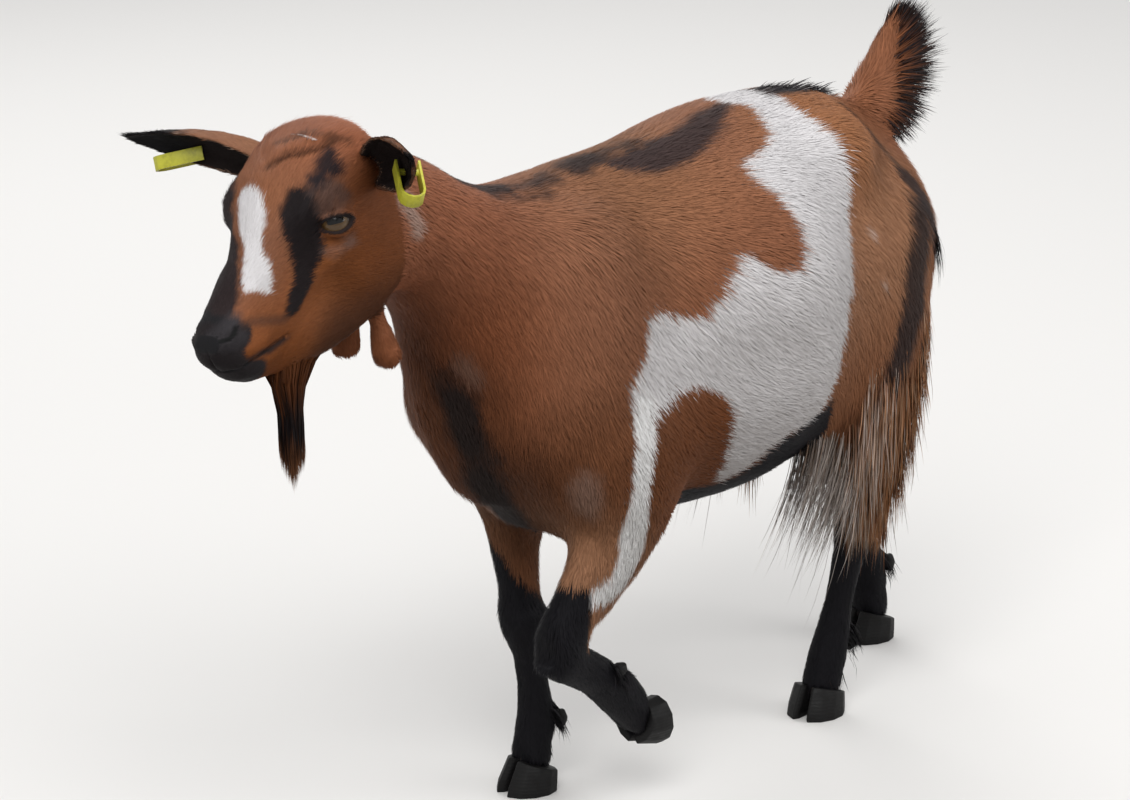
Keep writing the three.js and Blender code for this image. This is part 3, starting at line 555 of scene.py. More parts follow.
NOSTRIL = [(109, 22, 5), (113, 21.5, 2.5), (118, 20, 2.5), (122, 18, 4.5), (126, 13.5, 5.5), (128, 8, 6)]
MOUTH = [(82, 22, -41), (89, 22.5, -38), (97, 23, -34), (106, 23.5, -30), (115, 23, -27), (123, 19, -25),
         (130, 10, -24), (133, 0, -24)]
FOREHEAD_FOLD = [(-8, 0, 49), (-12, 6, 49), (-19, 12, 47), (-25, 22, 44), (-33, 29, 40), (-42, 35, 36)]
FACE_FORMS = [
    (1.4, 7, [(18, 40, 12), (6, 48, 12), (-11, 51, 5), (-24, 48, -8)]),      # bony rim over the eye
    (-2.0, 11, [(26, 33, -6), (58, 27, -12)]),                              # hollow before the eye
    (1.8, 7, [(10, 47, -25), (36, 38, -28), (60, 31, -29)]),                # cheekbone
    (2.2, 20, [(-22, 38, -42), (4, 36, -48)]),                              # chewing muscle
    (-1.6, 12, [(34, 30, -44), (62, 25, -42)]),                             # hollow before that muscle
    (1.6, 7, [(70, 17, 6), (96, 17, 2)]),                                   # side of the nasal bone
    (1.8, 5, [(106, 19, 11), (114, 18, 9), (121, 14, 11), (126, 9, 11)]),   # wing of the nostril, upper
    (1.6, 5, [(106, 25, -4), (115, 24, -4), (123, 20, -2), (128, 14, 0)]),  # wing of the nostril, lower
    (2.0, 7, [(98, 26, -24), (112, 25, -20), (124, 18, -16), (129, 6, -14)]),  # upper lip
    (1.8, 6, [(98, 23, -45), (112, 20, -38), (122, 12, -35), (125, 0, -34)]),  # lower lip
    (-2.2, 5, FOREHEAD_FOLD),
    (1.8, 6, [(-18, -4, 50), (-26, 8, 49), (-34, 22, 45)]),                 # the roll above that fold
]
FACE_GROOVES = [
    (-4.6, 2.0, NOSTRIL),
    (-3.6, 2.8, [(118, 20, 3), (125, 14, 5)]),                              # the round opening in the slit
    (-3.0, 1.3, MOUTH),
    (-1.8, 1.4, [(130, 0, 2), (133, 0, -10), (132, 0, -24)]),               # cleft of the upper lip
]
brush(skin, FACE_FORMS)
brush(skin, FACE_GROOVES)
print("strokes on the face:", len(FACE_FORMS) + len(FACE_GROOVES))

# %% [markdown]
# ## Eyelids
# A goat looks out through a level slit, with the upper lid half down in daylight. The skin round each eye
# is laid on a sphere a little bigger than the eyeball: 2 mm outside it at the rolled edge of the lid, and
# behind its surface inside the slit, so that lid and ball meet in one clean curve.

# %% The slit between the lids
EYE_AXIS = np.array([0.45, 0.79, 0.41])          # where the middle of the slit looks, in head axes
EYE_SLIT = np.array([0.69, -0.61, 0.38])         # from the outer to the inner corner
LID_HALF = math.radians(57)                      # half the slit's length, seen from the eye's centre
LID_UP, LID_DOWN = math.radians(16), math.radians(24)      # how far the slit opens above and below
LID_RADIUS = EYE_RADIUS * 1.12                   # the lids' own radius, in mm
LID_REACH = 32                                   # skin farther off the eye's centre isn't touched, in mm


def eye_frame(side):
    """The eye's own axes: out through the slit, towards its inner corner, and up."""
    flip = np.array([1, 1 if side == "left" else -1, 1])
    out = unit(EYE_AXIS * flip)
    inner = EYE_SLIT * flip
    inner = unit(inner - out * (inner @ out))
    up = np.cross(out, inner) * (-1 if side == "left" else 1)
    up *= np.sign(up[2] - up[0] * 0.75)
    return out, inner, up


def slit_offset(rays, side):
    """How far rays from the eye's centre fall outside the slit (in mm on the lid), how far they rise, and
    whether they point forwards."""
    out, inner, up = eye_frame(side)
    ahead, across, rise = rays @ out, rays @ inner, rays @ up
    angle = np.arctan2(across, ahead)
    lift = np.arctan2(rise, np.hypot(ahead, across))
    drop = np.clip(1 - (angle / LID_HALF) ** 2, 0, 1)
    top, bottom = LID_UP * drop ** 0.6, -LID_DOWN * drop ** 0.75
    beyond = np.maximum(np.maximum(lift - top, bottom - lift), (np.abs(angle) - LID_HALF) * 0.9)
    return beyond * LID_RADIUS, rise, np.where(ahead > 0, 1.0, 0.0)


def smoothstep(low, high, x):
    """From 0 at low to 1 at high, with soft ends."""
    t = np.clip((np.asarray(x, float) - low) / (high - low), 0, 1)
    return t * t * (3 - 2 * t)


print("the left eye looks out along", eye_frame("left")[0].round(2), "in head axes")


# %% Lids
def shape_lids(obj, side):
    """Lays the skin round an eye over the ball; returns where it should be eased after that."""
    points = points_of(obj)
    normals = normals_of(obj)
    rays = head_coords(points) - head_coords(EYES[side][None])
    far = np.linalg.norm(rays, axis=1)
    near = np.nonzero((far < LID_REACH) & ((rays @ eye_frame(side)[0]) > -2))[0]
    aim = rays[near] / far[near][:, None]
    beyond, rise, front = slit_offset(aim, side)
    edge = 2.0 * smoothstep(-0.2, 1.5, beyond) - 3.2 * smoothstep(0.0, -2.0, beyond)
    crease = -1.2 * np.exp(-((beyond - 5.5) / 1.3) ** 2) * np.where(rise > 0, 1.0, 0.5)
    lid = EYE_RADIUS + 0.1 + edge + crease + 0.12 * np.maximum(beyond - 2, 0)
    facing = np.einsum("ij,ij->i", normals[near] @ HEAD_AXES.T, aim)
    hold = smoothstep(11, 4.5, beyond) * front * smoothstep(0.15, 0.6, facing + 0.6 * (beyond < 3))
    points[near] = EYES[side] + aim @ HEAD_AXES * (far[near] * (1 - hold) + lid * hold)[:, None]
    put_points(obj, points)
    easy = np.zeros(len(points))
    easy[near] = smoothstep(3.0, 6.5, beyond) * smoothstep(18, 12, beyond)
    return easy


ease = np.maximum(*[shape_lids(skin, side) for side in EYES])
easy_group = skin.vertex_groups.new(name="round_the_lids")
for level in (0.25, 0.5, 0.75, 1.0):
    easy_group.add(np.nonzero((ease > level - 0.2) & (ease <= level + 0.05))[0].tolist(), level, "REPLACE")
apply_modifier(skin, "SMOOTH", factor=0.5, iterations=10, vertex_group="round_the_lids")
skin.vertex_groups.clear()
print("points eased round the lids:", int((ease > 0).sum()))

# %% [markdown]
# ## Ears
# A goat's ear is a leaf of gristle about 2 mm thick, rolled at its root. The solid ear has a few flat
# faces to its curve, so it is remeshed finely and smoothed; the pin hole of the tag closes by itself
# round the pin. Both ears are then made one with the skin.

# %% Smooth ears, united with the skin
EAR_VOXEL = 0.0015               # metres
EAR_COAT = 0.35                  # the depth of the coat that will grow on them, in mm
for name in EAR_LINES:
    ear = copy_nodes([name], name + "_skin")
    voxel_remesh(ear, EAR_VOXEL)
    ear_tree = tree_of(ear)
    apply_modifier(ear, "SMOOTH", factor=0.5, iterations=26)
    points = points_of(ear)
    height = evened(height_above(ear_tree, points), edges_of(ear), 8)
    put_points(ear, points - normals_of(ear) * (height + EAR_COAT)[:, None])
    apply_modifier(skin, "BOOLEAN", operation="UNION", object=ear, solver="MANIFOLD")
    bpy.data.objects.remove(ear)
print("skin faces with the ears:", len(skin.data.polygons))

# %% [markdown]
# ## Eyeballs
# An eyeball is a dark ball with a clear bulge in front. A goat's pupil is a level bar, and its iris is
# amber with dark streaks round the pupil. The ball is a sphere turned to its gaze; an attribute carries
# each point's place as the eye itself would measure it, so that the material can draw on it.

# %% The shape of an eyeball
PUPIL_LONG, PUPIL_HIGH, IRIS_RADIUS = 6.4, 2.4, 11.0      # half sizes and radius in mm
BULGE = 0.9                                               # how far the cornea stands out, in mm


def eyeball(side):
    """A ball turned to its gaze, with its cornea in front."""
    out, inner, up = eye_frame(side)
    gaze = unit(out + 0.16 * up + 0.03 * inner) @ HEAD_AXES
    long = unit(inner @ HEAD_AXES - gaze * (inner @ HEAD_AXES @ gaze))
    high = np.cross(gaze, long)
    high *= np.sign(high @ (up @ HEAD_AXES))
    bpy.ops.object.select_all(action="DESELECT")
    bpy.ops.mesh.primitive_uv_sphere_add(segments=64, ring_count=40, radius=(EYE_RADIUS - 0.25) / 1000)
    ball = bpy.context.object
    ball.name = ball.data.name = "eyeball_" + side
    local = rows(ball.data.vertices, "co", 3).astype(float) * 1000
    off = np.hypot(local[:, 0], local[:, 1])
    bulge = np.where(local[:, 2] > 0, BULGE * smoothstep(10.5, 5, off), 0)
    placed = EYES[side] + np.outer(local[:, 0], long) + np.outer(local[:, 1], high)
    placed += np.outer(local[:, 2] + bulge, gaze)
    put_points(ball, placed)
    seen = ball.data.attributes.new("eye_place", "FLOAT_VECTOR", "POINT")
    seen.data.foreach_set("vector", local.astype(np.float32).ravel())
    ball.data.polygons.foreach_set("use_smooth", [True] * len(ball.data.polygons))
    if np.dot(np.cross(long, high), gaze) < 0:
        edit(bpy.ops.mesh.normals_make_consistent, inside=False)
    ball.data.materials.append(eye_material)
    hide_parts("eye_" + side)
    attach(ball, "root")
    return ball


print("iris of", IRIS_RADIUS, "mm on a ball of", EYE_RADIUS, "mm radius")

# %% Eyeballs
# A wet cornea over a coloured iris: very smooth, with the IOR of the real cornea; the colours lie under it.
eye_material, tree, shader = new_material("wet_cornea_and_iris", Roughness=0.06, IOR=1.376)
place = node(tree, "Attribute", {"attribute_name": "eye_place"})
axes = node(tree, "SeparateXYZ", _0=place.outputs["Vector"])
across_eye = node(tree, "Math", {"operation": "POWER"}, _0=axes.outputs[0], _1=2.0)
up_eye = node(tree, "Math", {"operation": "POWER"}, _0=axes.outputs[1], _1=2.0)
radius = node(tree, "Math", {"operation": "SQRT"}, _0=node(tree, "Math", _0=across_eye, _1=up_eye))
around = node(tree, "Math", {"operation": "ARCTAN2"}, _0=axes.outputs[1], _1=axes.outputs[0])
streak_place = node(tree, "CombineXYZ",
                    _0=node(tree, "Math", {"operation": "MULTIPLY"}, _0=around, _1=7.0),
                    _1=node(tree, "Math", {"operation": "MULTIPLY"}, _0=radius, _1=0.25))
streaks = node(tree, "TexNoise", Vector=streak_place, Scale=2.2, Detail=4.0)
iris = node(tree, "ValToRGB", {"stops": [(0.0, "#3d2c1a"), (0.45, "#5a4327"), (0.75, "#725736"),
                                         (0.9, "#44331f"), (1.0, "#1c1613")]},
            _0=node(tree, "Math", {"operation": "DIVIDE"}, _0=radius, _1=IRIS_RADIUS))
streak_share = node(tree, "Math", {"operation": "MULTIPLY"}, _0=streaks, _1=0.75)
iris = node(tree, "Mix", {"data_type": "RGBA"}, _0=streak_share, _6=iris, _7="#3c2b19")
sides = []                             # the pupil is a rounded bar: |x/long|^4 + |y/high|^4 = 1
for axis, half in ((0, PUPIL_LONG), (1, PUPIL_HIGH)):
    part = node(tree, "Math", {"operation": "DIVIDE"}, _0=axes.outputs[axis], _1=half)
    part = node(tree, "Math", {"operation": "ABSOLUTE"}, _0=part)
    sides.append(node(tree, "Math", {"operation": "POWER"}, _0=part, _1=4.0))
bar = node(tree, "Math", {"operation": "POWER"}, _0=node(tree, "Math", _0=sides[0], _1=sides[1]), _1=0.25)
pupil = node(tree, "MapRange", {"interpolation_type": "SMOOTHSTEP"},
             Value=bar, From_Min=0.92, From_Max=1.12)
colour = node(tree, "Mix", {"data_type": "RGBA"}, _0=pupil, _6="#08080b", _7=iris.outputs[2])
white = node(tree, "MapRange", Value=radius, From_Min=IRIS_RADIUS - 0.4, From_Max=IRIS_RADIUS + 0.8)
colour = node(tree, "Mix", {"data_type": "RGBA"}, _0=white, _6=colour.outputs[2], _7="#2a1f1b")
tree.links.new(colour.outputs[2], shader.inputs["Base Color"])
eyeballs = [eyeball(side) for side in EYES]
print("eyeballs:", [o.name for o in eyeballs])

# %% [markdown]
# ## Hooves
# A goat walks on two claws per foot, horn capsules with a soft heel, and carries two small dewclaws
# behind the fetlock. The solids have their shape; each is copied, its flat faces are joined, its edges
# are rounded and its sides are given growth rings, which run round the claw parallel to its crown.

# %% The horn of the hooves
# Horn grown in rings, worn and dusty: nearly black, dull, a little glossier where it is rubbed clean.
CLAWS = [n for n in frame["nodes"] if "claw" in n]
horn_material, tree, shader = new_material("hoof_horn_keratin", Roughness=0.6, Specular_IOR_Level=0.22)
spot = node(tree, "TexCoord").outputs["Object"]
rings = node(tree, "TexWave", {"wave_type": "BANDS", "bands_direction": "Z"}, Vector=spot,
             Scale=105.0, Distortion=3.2, Detail=2.0, Detail_Scale=1.5)      # growth rings 3 mm apart
dirt = node(tree, "TexNoise", Vector=spot, Scale=70.0, Detail=5.0, Roughness=0.65)
grain = node(tree, "TexNoise", Vector=spot, Scale=600.0, Detail=3.0)
tone = node(tree, "ValToRGB", {"stops": [(0.3, "#040404"), (0.55, "#080708"), (0.75, "#0f0d0c")]}, _0=dirt)
ring_share = node(tree, "Math", {"operation": "MULTIPLY"}, _0=rings.outputs[1], _1=0.3)
tone = node(tree, "Mix", {"data_type": "RGBA"}, _0=ring_share, _6=tone, _7="#110f0e")
tree.links.new(tone.outputs[2], shader.inputs["Base Color"])
gloss = node(tree, "MapRange", Value=dirt, From_Min=0.3, From_Max=0.7, To_Min=0.45, To_Max=0.75)
tree.links.new(gloss.outputs[0], shader.inputs["Roughness"])
relief = node(tree, "Math", {"operation": "MULTIPLY_ADD"}, _0=grain, _1=0.4, _2=ring_share)
bump = node(tree, "Bump", Strength=0.5, Distance=0.0006, Height=relief)
tree.links.new(bump.outputs[0], shader.inputs["Normal"])
print("horn for", len(CLAWS), "claws and dewclaws")


# %% Claws and dewclaws
FLAT, SHARP, SMOOTH = (math.radians(angle) for angle in (3, 24, 40))      # angles between faces


def rounded_copy(name, new_name, bevel, segments, material):
    """A CAD node's copy with whole faces instead of triangles, and edges rounded by bevel metres."""
    piece = copy_nodes([name], new_name)
    edit(bpy.ops.mesh.dissolve_limited, angle_limit=FLAT)
    apply_modifier(piece, "BEVEL", width=bevel, segments=segments, limit_method="ANGLE", angle_limit=SHARP)
    bpy.ops.object.shade_smooth_by_angle(angle=SMOOTH)
    piece.data.materials.append(material)
    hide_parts(name)
    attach(piece, "root")
    return piece


hooves = [rounded_copy(name, name + "_horn", 0.001 if "dew" in name else 0.0014, 3, horn_material) for name in CLAWS]
print("claws and dewclaws:", len(hooves))

# %% [markdown]
# ## Ear tags
# The tags are loops of soft polyurethane, injection moulded and a little faded, in a half-glossy yellow.
# They are left bare. A stud with a flat head holds each band through the ear.

# %% Tags
# Polyurethane from a mould: IOR about 1.5, half glossy, a fine grain from the mould's wall, some grime.
tag_material, tree, shader = new_material("moulded_polyurethane_yellow", Roughness=0.42, IOR=1.5)
spot = node(tree, "TexCoord").outputs["Object"]
grime = node(tree, "TexNoise", Vector=spot, Scale=90.0, Detail=5.0, Roughness=0.7)
tone = node(tree, "ValToRGB", {"stops": [(0.3, "#a7a433"), (0.5, "#c9c63a"), (0.7, "#d3d048")]}, _0=grime)
tree.links.new(tone.outputs[0], shader.inputs["Base Color"])
grain = node(tree, "TexNoise", Vector=spot, Scale=1500.0, Detail=2.0)
bump = node(tree, "Bump", Strength=0.25, Distance=0.0002, Height=grain)
tree.links.new(bump.outputs[0], shader.inputs["Normal"])
tags = [rounded_copy("ear_tag_" + side, "tag_" + side, 0.00045, 2, tag_material)
        for side in EYES]
print("tags:", [o.name for o in tags])

# %% [markdown]
# ## The lie of the coat
# Hair grows in streams. On a goat they run from the nose back to the ears, down the neck, back and down
# along the ribs, and straight down the legs. A few comb strokes say which way the hair lies at a place;
# every point of the skin takes the mean of the strokes near it, laid flat on its own surface.

# %% Comb strokes
# Place in mm, direction, reach in mm; strokes off the middle are mirrored to the right side.
BODY_COMB = [
    ((-370, -50, 540), (0.8, -0.1, -0.55), 55), ((-340, 0, 590), (1, 0, -0.15), 50),
    ((-330, -62, 480), (0.7, -0.05, -0.9), 60), ((-250, 0, 600), (1, 0, 0), 60),
    ((-260, -80, 500), (0.7, 0, -0.9), 60), ((-300, 0, 400), (0.05, -0.25, -1), 60),
    ((-210, -105, 470), (0.45, 0, -1), 70), ((-200, -100, 380), (0.3, 0, -1), 60),
    ((-250, 0, 300), (0.5, 0, -0.9), 50), ((-120, -120, 430), (0.8, 0, -0.9), 70),
    ((-120, 0, 610), (1, 0, 0), 70), ((0, -100, 590), (1, -0.1, -0.35), 70),
    ((0, -145, 450), (1, 0, -0.7), 80), ((0, -100, 300), (1, 0, -0.35), 70), ((0, 0, 230), (1, 0, 0), 70),
    ((100, -120, 470), (0.8, 0, -0.8), 60), ((100, -60, 600), (1, 0, -0.2), 60),
    ((200, -80, 520), (0.4, 0, -1), 60), ((170, -110, 430), (0.35, 0, -1), 60),
    ((150, -100, 330), (0.15, 0, -1), 60), ((190, -60, 240), (-0.2, 0, -1), 50),
    ((290, 70, 240), (0.1, 0, -1), 50), ((235, -60, 420), (0.1, 0, -1), 50),
    ((244, 0, 505), (0.5, 0, 0.9), 22), ((290, 0, 585), (0.35, 0, 0.95), 30),
    ((170, -58, 110), (-0.15, 0, -1), 60), ((340, 65, 110), (0.2, 0, -1), 60),
    ((-150, 42, 110), (0, 0, -1), 60), ((-200, -75, 240), (-0.1, 0, -1), 40),
    ((-222, -67, 170), (0.5, 0, -0.9), 22), ((-160, -62, 118), (0.8, 0.07, -0.6), 40),
    ((-388, -38, 465), (0, 0, -1), 26), ((-382, 4, 465), (0, 0, -1), 22),
]
# The same in head axes.
HEAD_COMB = [
    ((128, 12, -5), (-0.3, 1, -0.4), 14), ((104, 0, 10), (-1, 0.25, 0), 22),
    ((70, 8, 20), (-1, 0.45, 0.1), 26), ((40, 10, 24), (-1, 0.5, 0.1), 26),
    ((8, 8, 30), (-1, 0.25, 0.2), 26), ((-24, 6, 38), (-1, 0.1, 0.1), 26),
    ((-58, 8, 36), (-1, 0.25, -0.2), 30), ((-90, 10, 18), (-1, 0.2, -0.5), 34),
    ((100, 26, -32), (-1, 0.15, -0.35), 20), ((70, 30, -25), (-1, 0.35, -0.45), 26),
    ((40, 36, -25), (-1, 0.4, -0.55), 26), ((30, 34, 0), (-1, 0.5, -0.15), 16),
    ((16, 42, 10), (-0.8, 0.5, 0.5), 11), ((-4, 44, 18), (-0.8, 0.2, 0.5), 14),
    ((-2, 46, -24), (-0.9, 0.1, -0.5), 16), ((-28, 44, -16), (-1, 0.1, -0.45), 20),
    ((0, 42, -50), (-0.9, 0, -0.75), 28), ((-30, 40, -50), (-0.9, 0, -0.8), 30),
    ((-40, 30, 14), (-1, 0.55, 0.1), 18), ((90, 18, -55), (-1, 0.1, -0.2), 22),
    ((50, 10, -72), (-1, 0, -0.1), 26), ((0, 0, -85), (-1, 0, -0.2), 30),
    ((120, 12, -42), (-0.9, 0.2, -0.3), 16),
]
print("comb strokes:", len(BODY_COMB) + len(HEAD_COMB))

# %% Comb the skin
FLIP = np.array([1.0, -1.0, 1.0])       # left to right


def combed(points, strokes):
    """The mean direction of the comb strokes near each point."""
    total = np.zeros_like(points)
    for place, direction, reach in strokes:
        place, direction = np.array(place, float), unit(direction)
        sides = (1, FLIP) if abs(place[1]) > 4 else (1,)
        for side in sides:
            weight = np.exp(-(np.linalg.norm(points - place * side, axis=1) / reach) ** 2) + 1e-9
            total += weight[:, None] * direction * side
    return unit(total)


def laid_flat(ways, normals):
    """Directions turned into the surface."""
    ways = ways - normals * np.einsum("ij,ij->i", ways, normals)[:, None]
    return unit(ways)


OWNERS = FLESH + list(EAR_LINES)        # all solids whose skin this is
skin_tree = tree_of(skin)
skin_points = points_of(skin)
skin_normals = normals_of(skin)
skin_edges = edges_of(skin)
skin_owner = nearest_solid(skin_points, OWNERS)
owner_kind = np.array([name.split("_")[0] for name in OWNERS])
skin_kind = owner_kind[skin_owner]
in_head_axes = head_coords(skin_points)
on_body = combed(skin_points, BODY_COMB)
on_face = combed(in_head_axes, HEAD_COMB) @ HEAD_AXES
headness = evened((skin_kind == "head").astype(float), skin_edges, 10)
lie = laid_flat(on_body * (1 - headness[:, None]) + on_face * headness[:, None], skin_normals)
for name, (_, along, _) in EAR_LINES.items():
    lie[skin_owner == OWNERS.index(name)] = along
for _ in range(3):
    lie = laid_flat(evened(lie, skin_edges, 3), skin_normals)
print("combed points:", len(lie))

# %% [markdown]
# ## Markings
# This goat is chestnut with a white belt, black stockings, a black belly and a blaze. Each patch is an
# outline on a flat chart of the animal: along the body and round it for the trunk, along the nose and
# round it for the head. Skin and tufts ask the same function for their colour, so that they agree.

# %% Noise and outlines
random = np.random.default_rng(7)
CELLS = 32
LATTICE = random.random((CELLS, CELLS, CELLS))


def cloud(points, size, shift=0.0):
    """Smooth noise from -1 to 1 whose lumps are about size millimetres wide."""
    place = points / size + 100.37 + shift
    cell = np.floor(place).astype(int)
    part = place - cell
    part = part * part * (3 - 2 * part)
    total = np.zeros(len(points))
    for corner in np.ndindex(2, 2, 2):
        share = np.abs(1 - np.array(corner) - part).prod(axis=1)
        total += share * LATTICE[tuple(((cell + corner) % CELLS).T)]
    return total * 2 - 1


def rounded_outline(corners):
    """A closed outline whose corners are cut twice, so that it runs softly."""
    outline = np.asarray(corners, float)
    for _ in range(2):
        onward = np.roll(outline, -1, axis=0)
        cuts = [0.75 * outline + 0.25 * onward, 0.25 * outline + 0.75 * onward]
        outline = np.stack(cuts, 1).reshape(-1, 2)
    return outline


def inside_by(chart, corners):
    """How far each chart point lies inside an outline (negative outside)."""
    outline = rounded_outline(corners)
    onward = np.roll(outline, -1, axis=0)
    least = np.full(len(chart), np.inf)
    inside = np.zeros(len(chart), bool)
    for (ax, ay), (bx, by) in zip(outline, onward):
        ex, ey = bx - ax, by - ay
        px, py = chart[:, 0] - ax, chart[:, 1] - ay
        share = np.clip((px * ex + py * ey) / max(ex * ex + ey * ey, 1e-9), 0, 1)
        least = np.minimum(least, (px - share * ex) ** 2 + (py - share * ey) ** 2)
        crosses = (ay > chart[:, 1]) != (by > chart[:, 1])
        inside ^= crosses & (px < ex * py / (ey if abs(ey) > 1e-9 else 1e-9))
    return np.where(inside, 1, -1) * np.sqrt(least)


print("noise between the eyes:", cloud(BROWS_MID[None], 22).round(2))

# %% Outlines on the body's chart
# Corners in millimetres, as listed. An outline runs softly, so a corner lies a little outside its curve.
WHITE_BELT = [(100, 650), (100, 620), (115, 550), (110, 510), (75, 410), (60, 330), (50, 300), (5, 295),
              (-15, 260), (-45, 235), (-50, 275), (-60, 330), (-75, 355), (-105, 373), (-140, 355),
              (-165, 332), (-178, 385), (-155, 420), (-145, 475), (-95, 445), (-70, 465), (-48, 505),
              (-30, 468), (5, 460), (12, 510), (-15, 565), (40, 570), (65, 610), (43, 630), (43, 650)]
ARM_STRIP = [(-172, 390), (-178, 290), (-175, 232), (-206, 221), (-206, 210), (-172, 206), (-146, 240),
             (-160, 305), (-148, 370), (-150, 390)]
BLACK_BELLY = [(-150, 140), (-140, 240), (-35, 240), (-10, 262), (5, 295), (60, 308), (72, 325), (92, 250),
               (100, 140)]
BACK_STREAK = [(-132, 622), (-100, 595), (-45, 585), (15, 600), (50, 622), (40, 632), (-45, 620)]
print("corners of the belt:", len(WHITE_BELT))

# %% Outlines on the face's chart
BLAZE = [(12, -14), (8, -3), (16, 5), (30, 10), (50, 10), (57, 20), (74, 31), (80, 21), (88, 15), (70, 6),
         (50, 1), (36, -5)]
EYE_STRIPE = [(4, 15), (20, 14), (38, 20), (50, 40), (72, 47), (78, 60), (67, 71), (50, 63), (36, 50),
              (20, 44), (8, 33), (0, 23)]
RIGHT_STRIPE = [(-28, -22), (-38, -37), (-5, -36), (30, -56), (60, -78), (92, -74), (113, -32), (112, 16),
                (90, 15), (70, 4), (52, 0), (46, -12), (10, -17), (0, -25)]
MUZZLE = [(109, 4), (103, 18), (102, 37), (124, 37), (118, 56), (109, 72), (111, 95), (118, 128), (170, 130),
          (170, -130), (118, -128), (116, -92), (80, -80), (84, -50), (98, -20)]
# A dark patch behind the brow: partly the coat's dark marking, partly painted shade under the jutting brow.
BROW_PATCH_AND_SHADE = [(-39, 17), (-28, 30), (-10, 30), (4, 27), (0, 22), (-20, 19)]
OVER_EYE = [(-4, 22), (8, 25), (9, 33), (-14, 42), (-20, 33), (-12, 25)]
UNDER_EYE = [(25, 43), (20, 52), (5, 60), (-4, 61), (-4, 55), (12, 48)]
print("corners of the blaze:", len(BLAZE))

# %% Lines of colour: stripes with soft borders, in millimetres
THROAT_GREY = [(-300, -38, 424), (-295, -41, 413)]
BREAST_GREY = [(-215, -92, 320), (-212, -92, 295)]
CHEST_BAND = [(-330, -8, 424), (-300, -30, 390), (-280, -33, 335), (-255, -22, 292), (-185, 14, 245)]
CREST = [(-350, -10, 592), (-300, -12, 572), (-250, -14, 558), (-200, -15, 553), (-110, -10, 560),
         (-70, -12, 562)]
WITHERS = [(-230, -28, 548), (-200, -32, 544)]
DOCK = [(180, -26, 554), (205, -42, 528), (220, -60, 500)]
SEAT_EDGE = [(222, -70, 492), (236, -80, 465), (240, -95, 435)]
THIGH_BAND = [(215, -92, 466), (196, -110, 428), (160, -115, 345), (148, -110, 300)]
NAPE_PATCH = [(-386, -58, 575), (-374, -60, 555)]
FLANK_SPOTS = [((135, -104, 460), 6), ((140, -116, 418), 5)]      # place and radius
FACE_LINES = [      # half width, softness, share, colour, and the line's places in head axes
    # painted highlights on the upper and lower wing of the nostril, and painted shade in its slit
    (6.0, 4.0, 0.75, "#3b383b", [(106, 20, 10), (114, 17, 9), (122, 13, 11), (129, 5, 12)]),
    (4.5, 3.0, 0.6, "#353235", [(112, 24, -5), (120, 21, -4), (128, 14, -2)]),
    (1.8, 1.2, 1.0, "#050506", [(110, 22, 4), (115, 20.5, 2), (120, 18.5, 3), (125, 14, 5), (128, 9, 6)]),
    # lips, and the fold beside the nostril
    (2.6, 2.5, 0.9, "#201a1b", [(84, 23, -41), (92, 24, -37), (101, 25, -33), (110, 25, -29),
                                (118, 24, -25)]),
    (3.0, 4.0, 0.65, "#4a342b", [(103, 23, -1), (94, 25, -10), (86, 25, -19), (77, 25, -29)]),
    # painted shade in the folds of the forehead and beneath them
    (2.6, 4.0, 0.95, "#3c2317", FOREHEAD_FOLD),
    (2.2, 3.5, 0.9, "#40271a", [(-31, -7, 49), (-34, 6, 48), (-43, 14, 45), (-44, 30, 41), (-49, 42, 27)]),
    (1.4, 2.0, 0.6, "#4e3327", [(-43, 6, 46), (-42, 16, 45), (-41, 25, 42)]),
]
print("lines on the face:", len(FACE_LINES))

# %% [markdown]
# ## The chestnut itself
# One brown would look like paint. The coat is redder on the cheeks and throat, greyer on neck and thighs
# and paler on the flank, so a few tints are set at places of the body, each with its reach, and every
# point mixes those near it. The darker, more saturated tints low on the neck, shoulder and flank and on
# the jaw are partly the coat's colour and partly painted shade.

# %% Tints
# Colours of the coat, with painted shade in the darker tints low on neck, shoulder and flank: place in mm, colour,
# reach in mm.
TINTS = [
    ((-330, -50, 510), "#a2674a", 60), ((-300, -60, 440), "#85492a", 60), ((-300, 0, 380), "#7d4b2c", 50),
    ((-210, -110, 460), "#97664c", 80), ((-190, -105, 350), "#70452b", 60),
    ((-120, -100, 560), "#8f6346", 70), ((0, -100, 600), "#96654a", 60), ((-60, -140, 450), "#925e42", 70),
    ((-100, -110, 300), "#6d3d1d", 50), ((130, -90, 560), "#9f6a46", 60), ((150, -120, 450), "#aa7b5c", 60),
    ((150, -110, 350), "#976648", 50), ((190, -100, 260), "#8f6147", 50), ((230, -60, 420), "#94603f", 40),
    ((-190, -80, 240), "#a5785a", 40), ((280, 0, 570), "#945f42", 50), ((300, 60, 260), "#84563c", 60),
    ((-150, 40, 240), "#7a4e34", 40),
]
# On the face, the darker tints on the jaw and under it, and the one over each eye, are partly painted shade.
FACE_TINTS = [
    ((-60, 0, 40), "#93593d", 34), ((-20, 10, 38), "#9a6447", 26), ((10, 14, 28), "#8f5d40", 20),
    ((50, 22, 14), "#865840", 24), ((30, 40, -24), "#965a32", 26), ((60, 34, -30), "#945935", 26),
    ((0, 44, -46), "#7b4522", 32), ((-30, 42, -20), "#78462a", 22), ((20, 10, -80), "#4d2d1b", 32),
    ((90, 26, -45), "#74401c", 20), ((-4, 42, 14), "#74503f", 12), ((-60, 40, -40), "#7d4829", 34),
]
EAR_BACK = "#96694f"
print("tints:", len(TINTS), "on the body,", len(FACE_TINTS), "on the face")


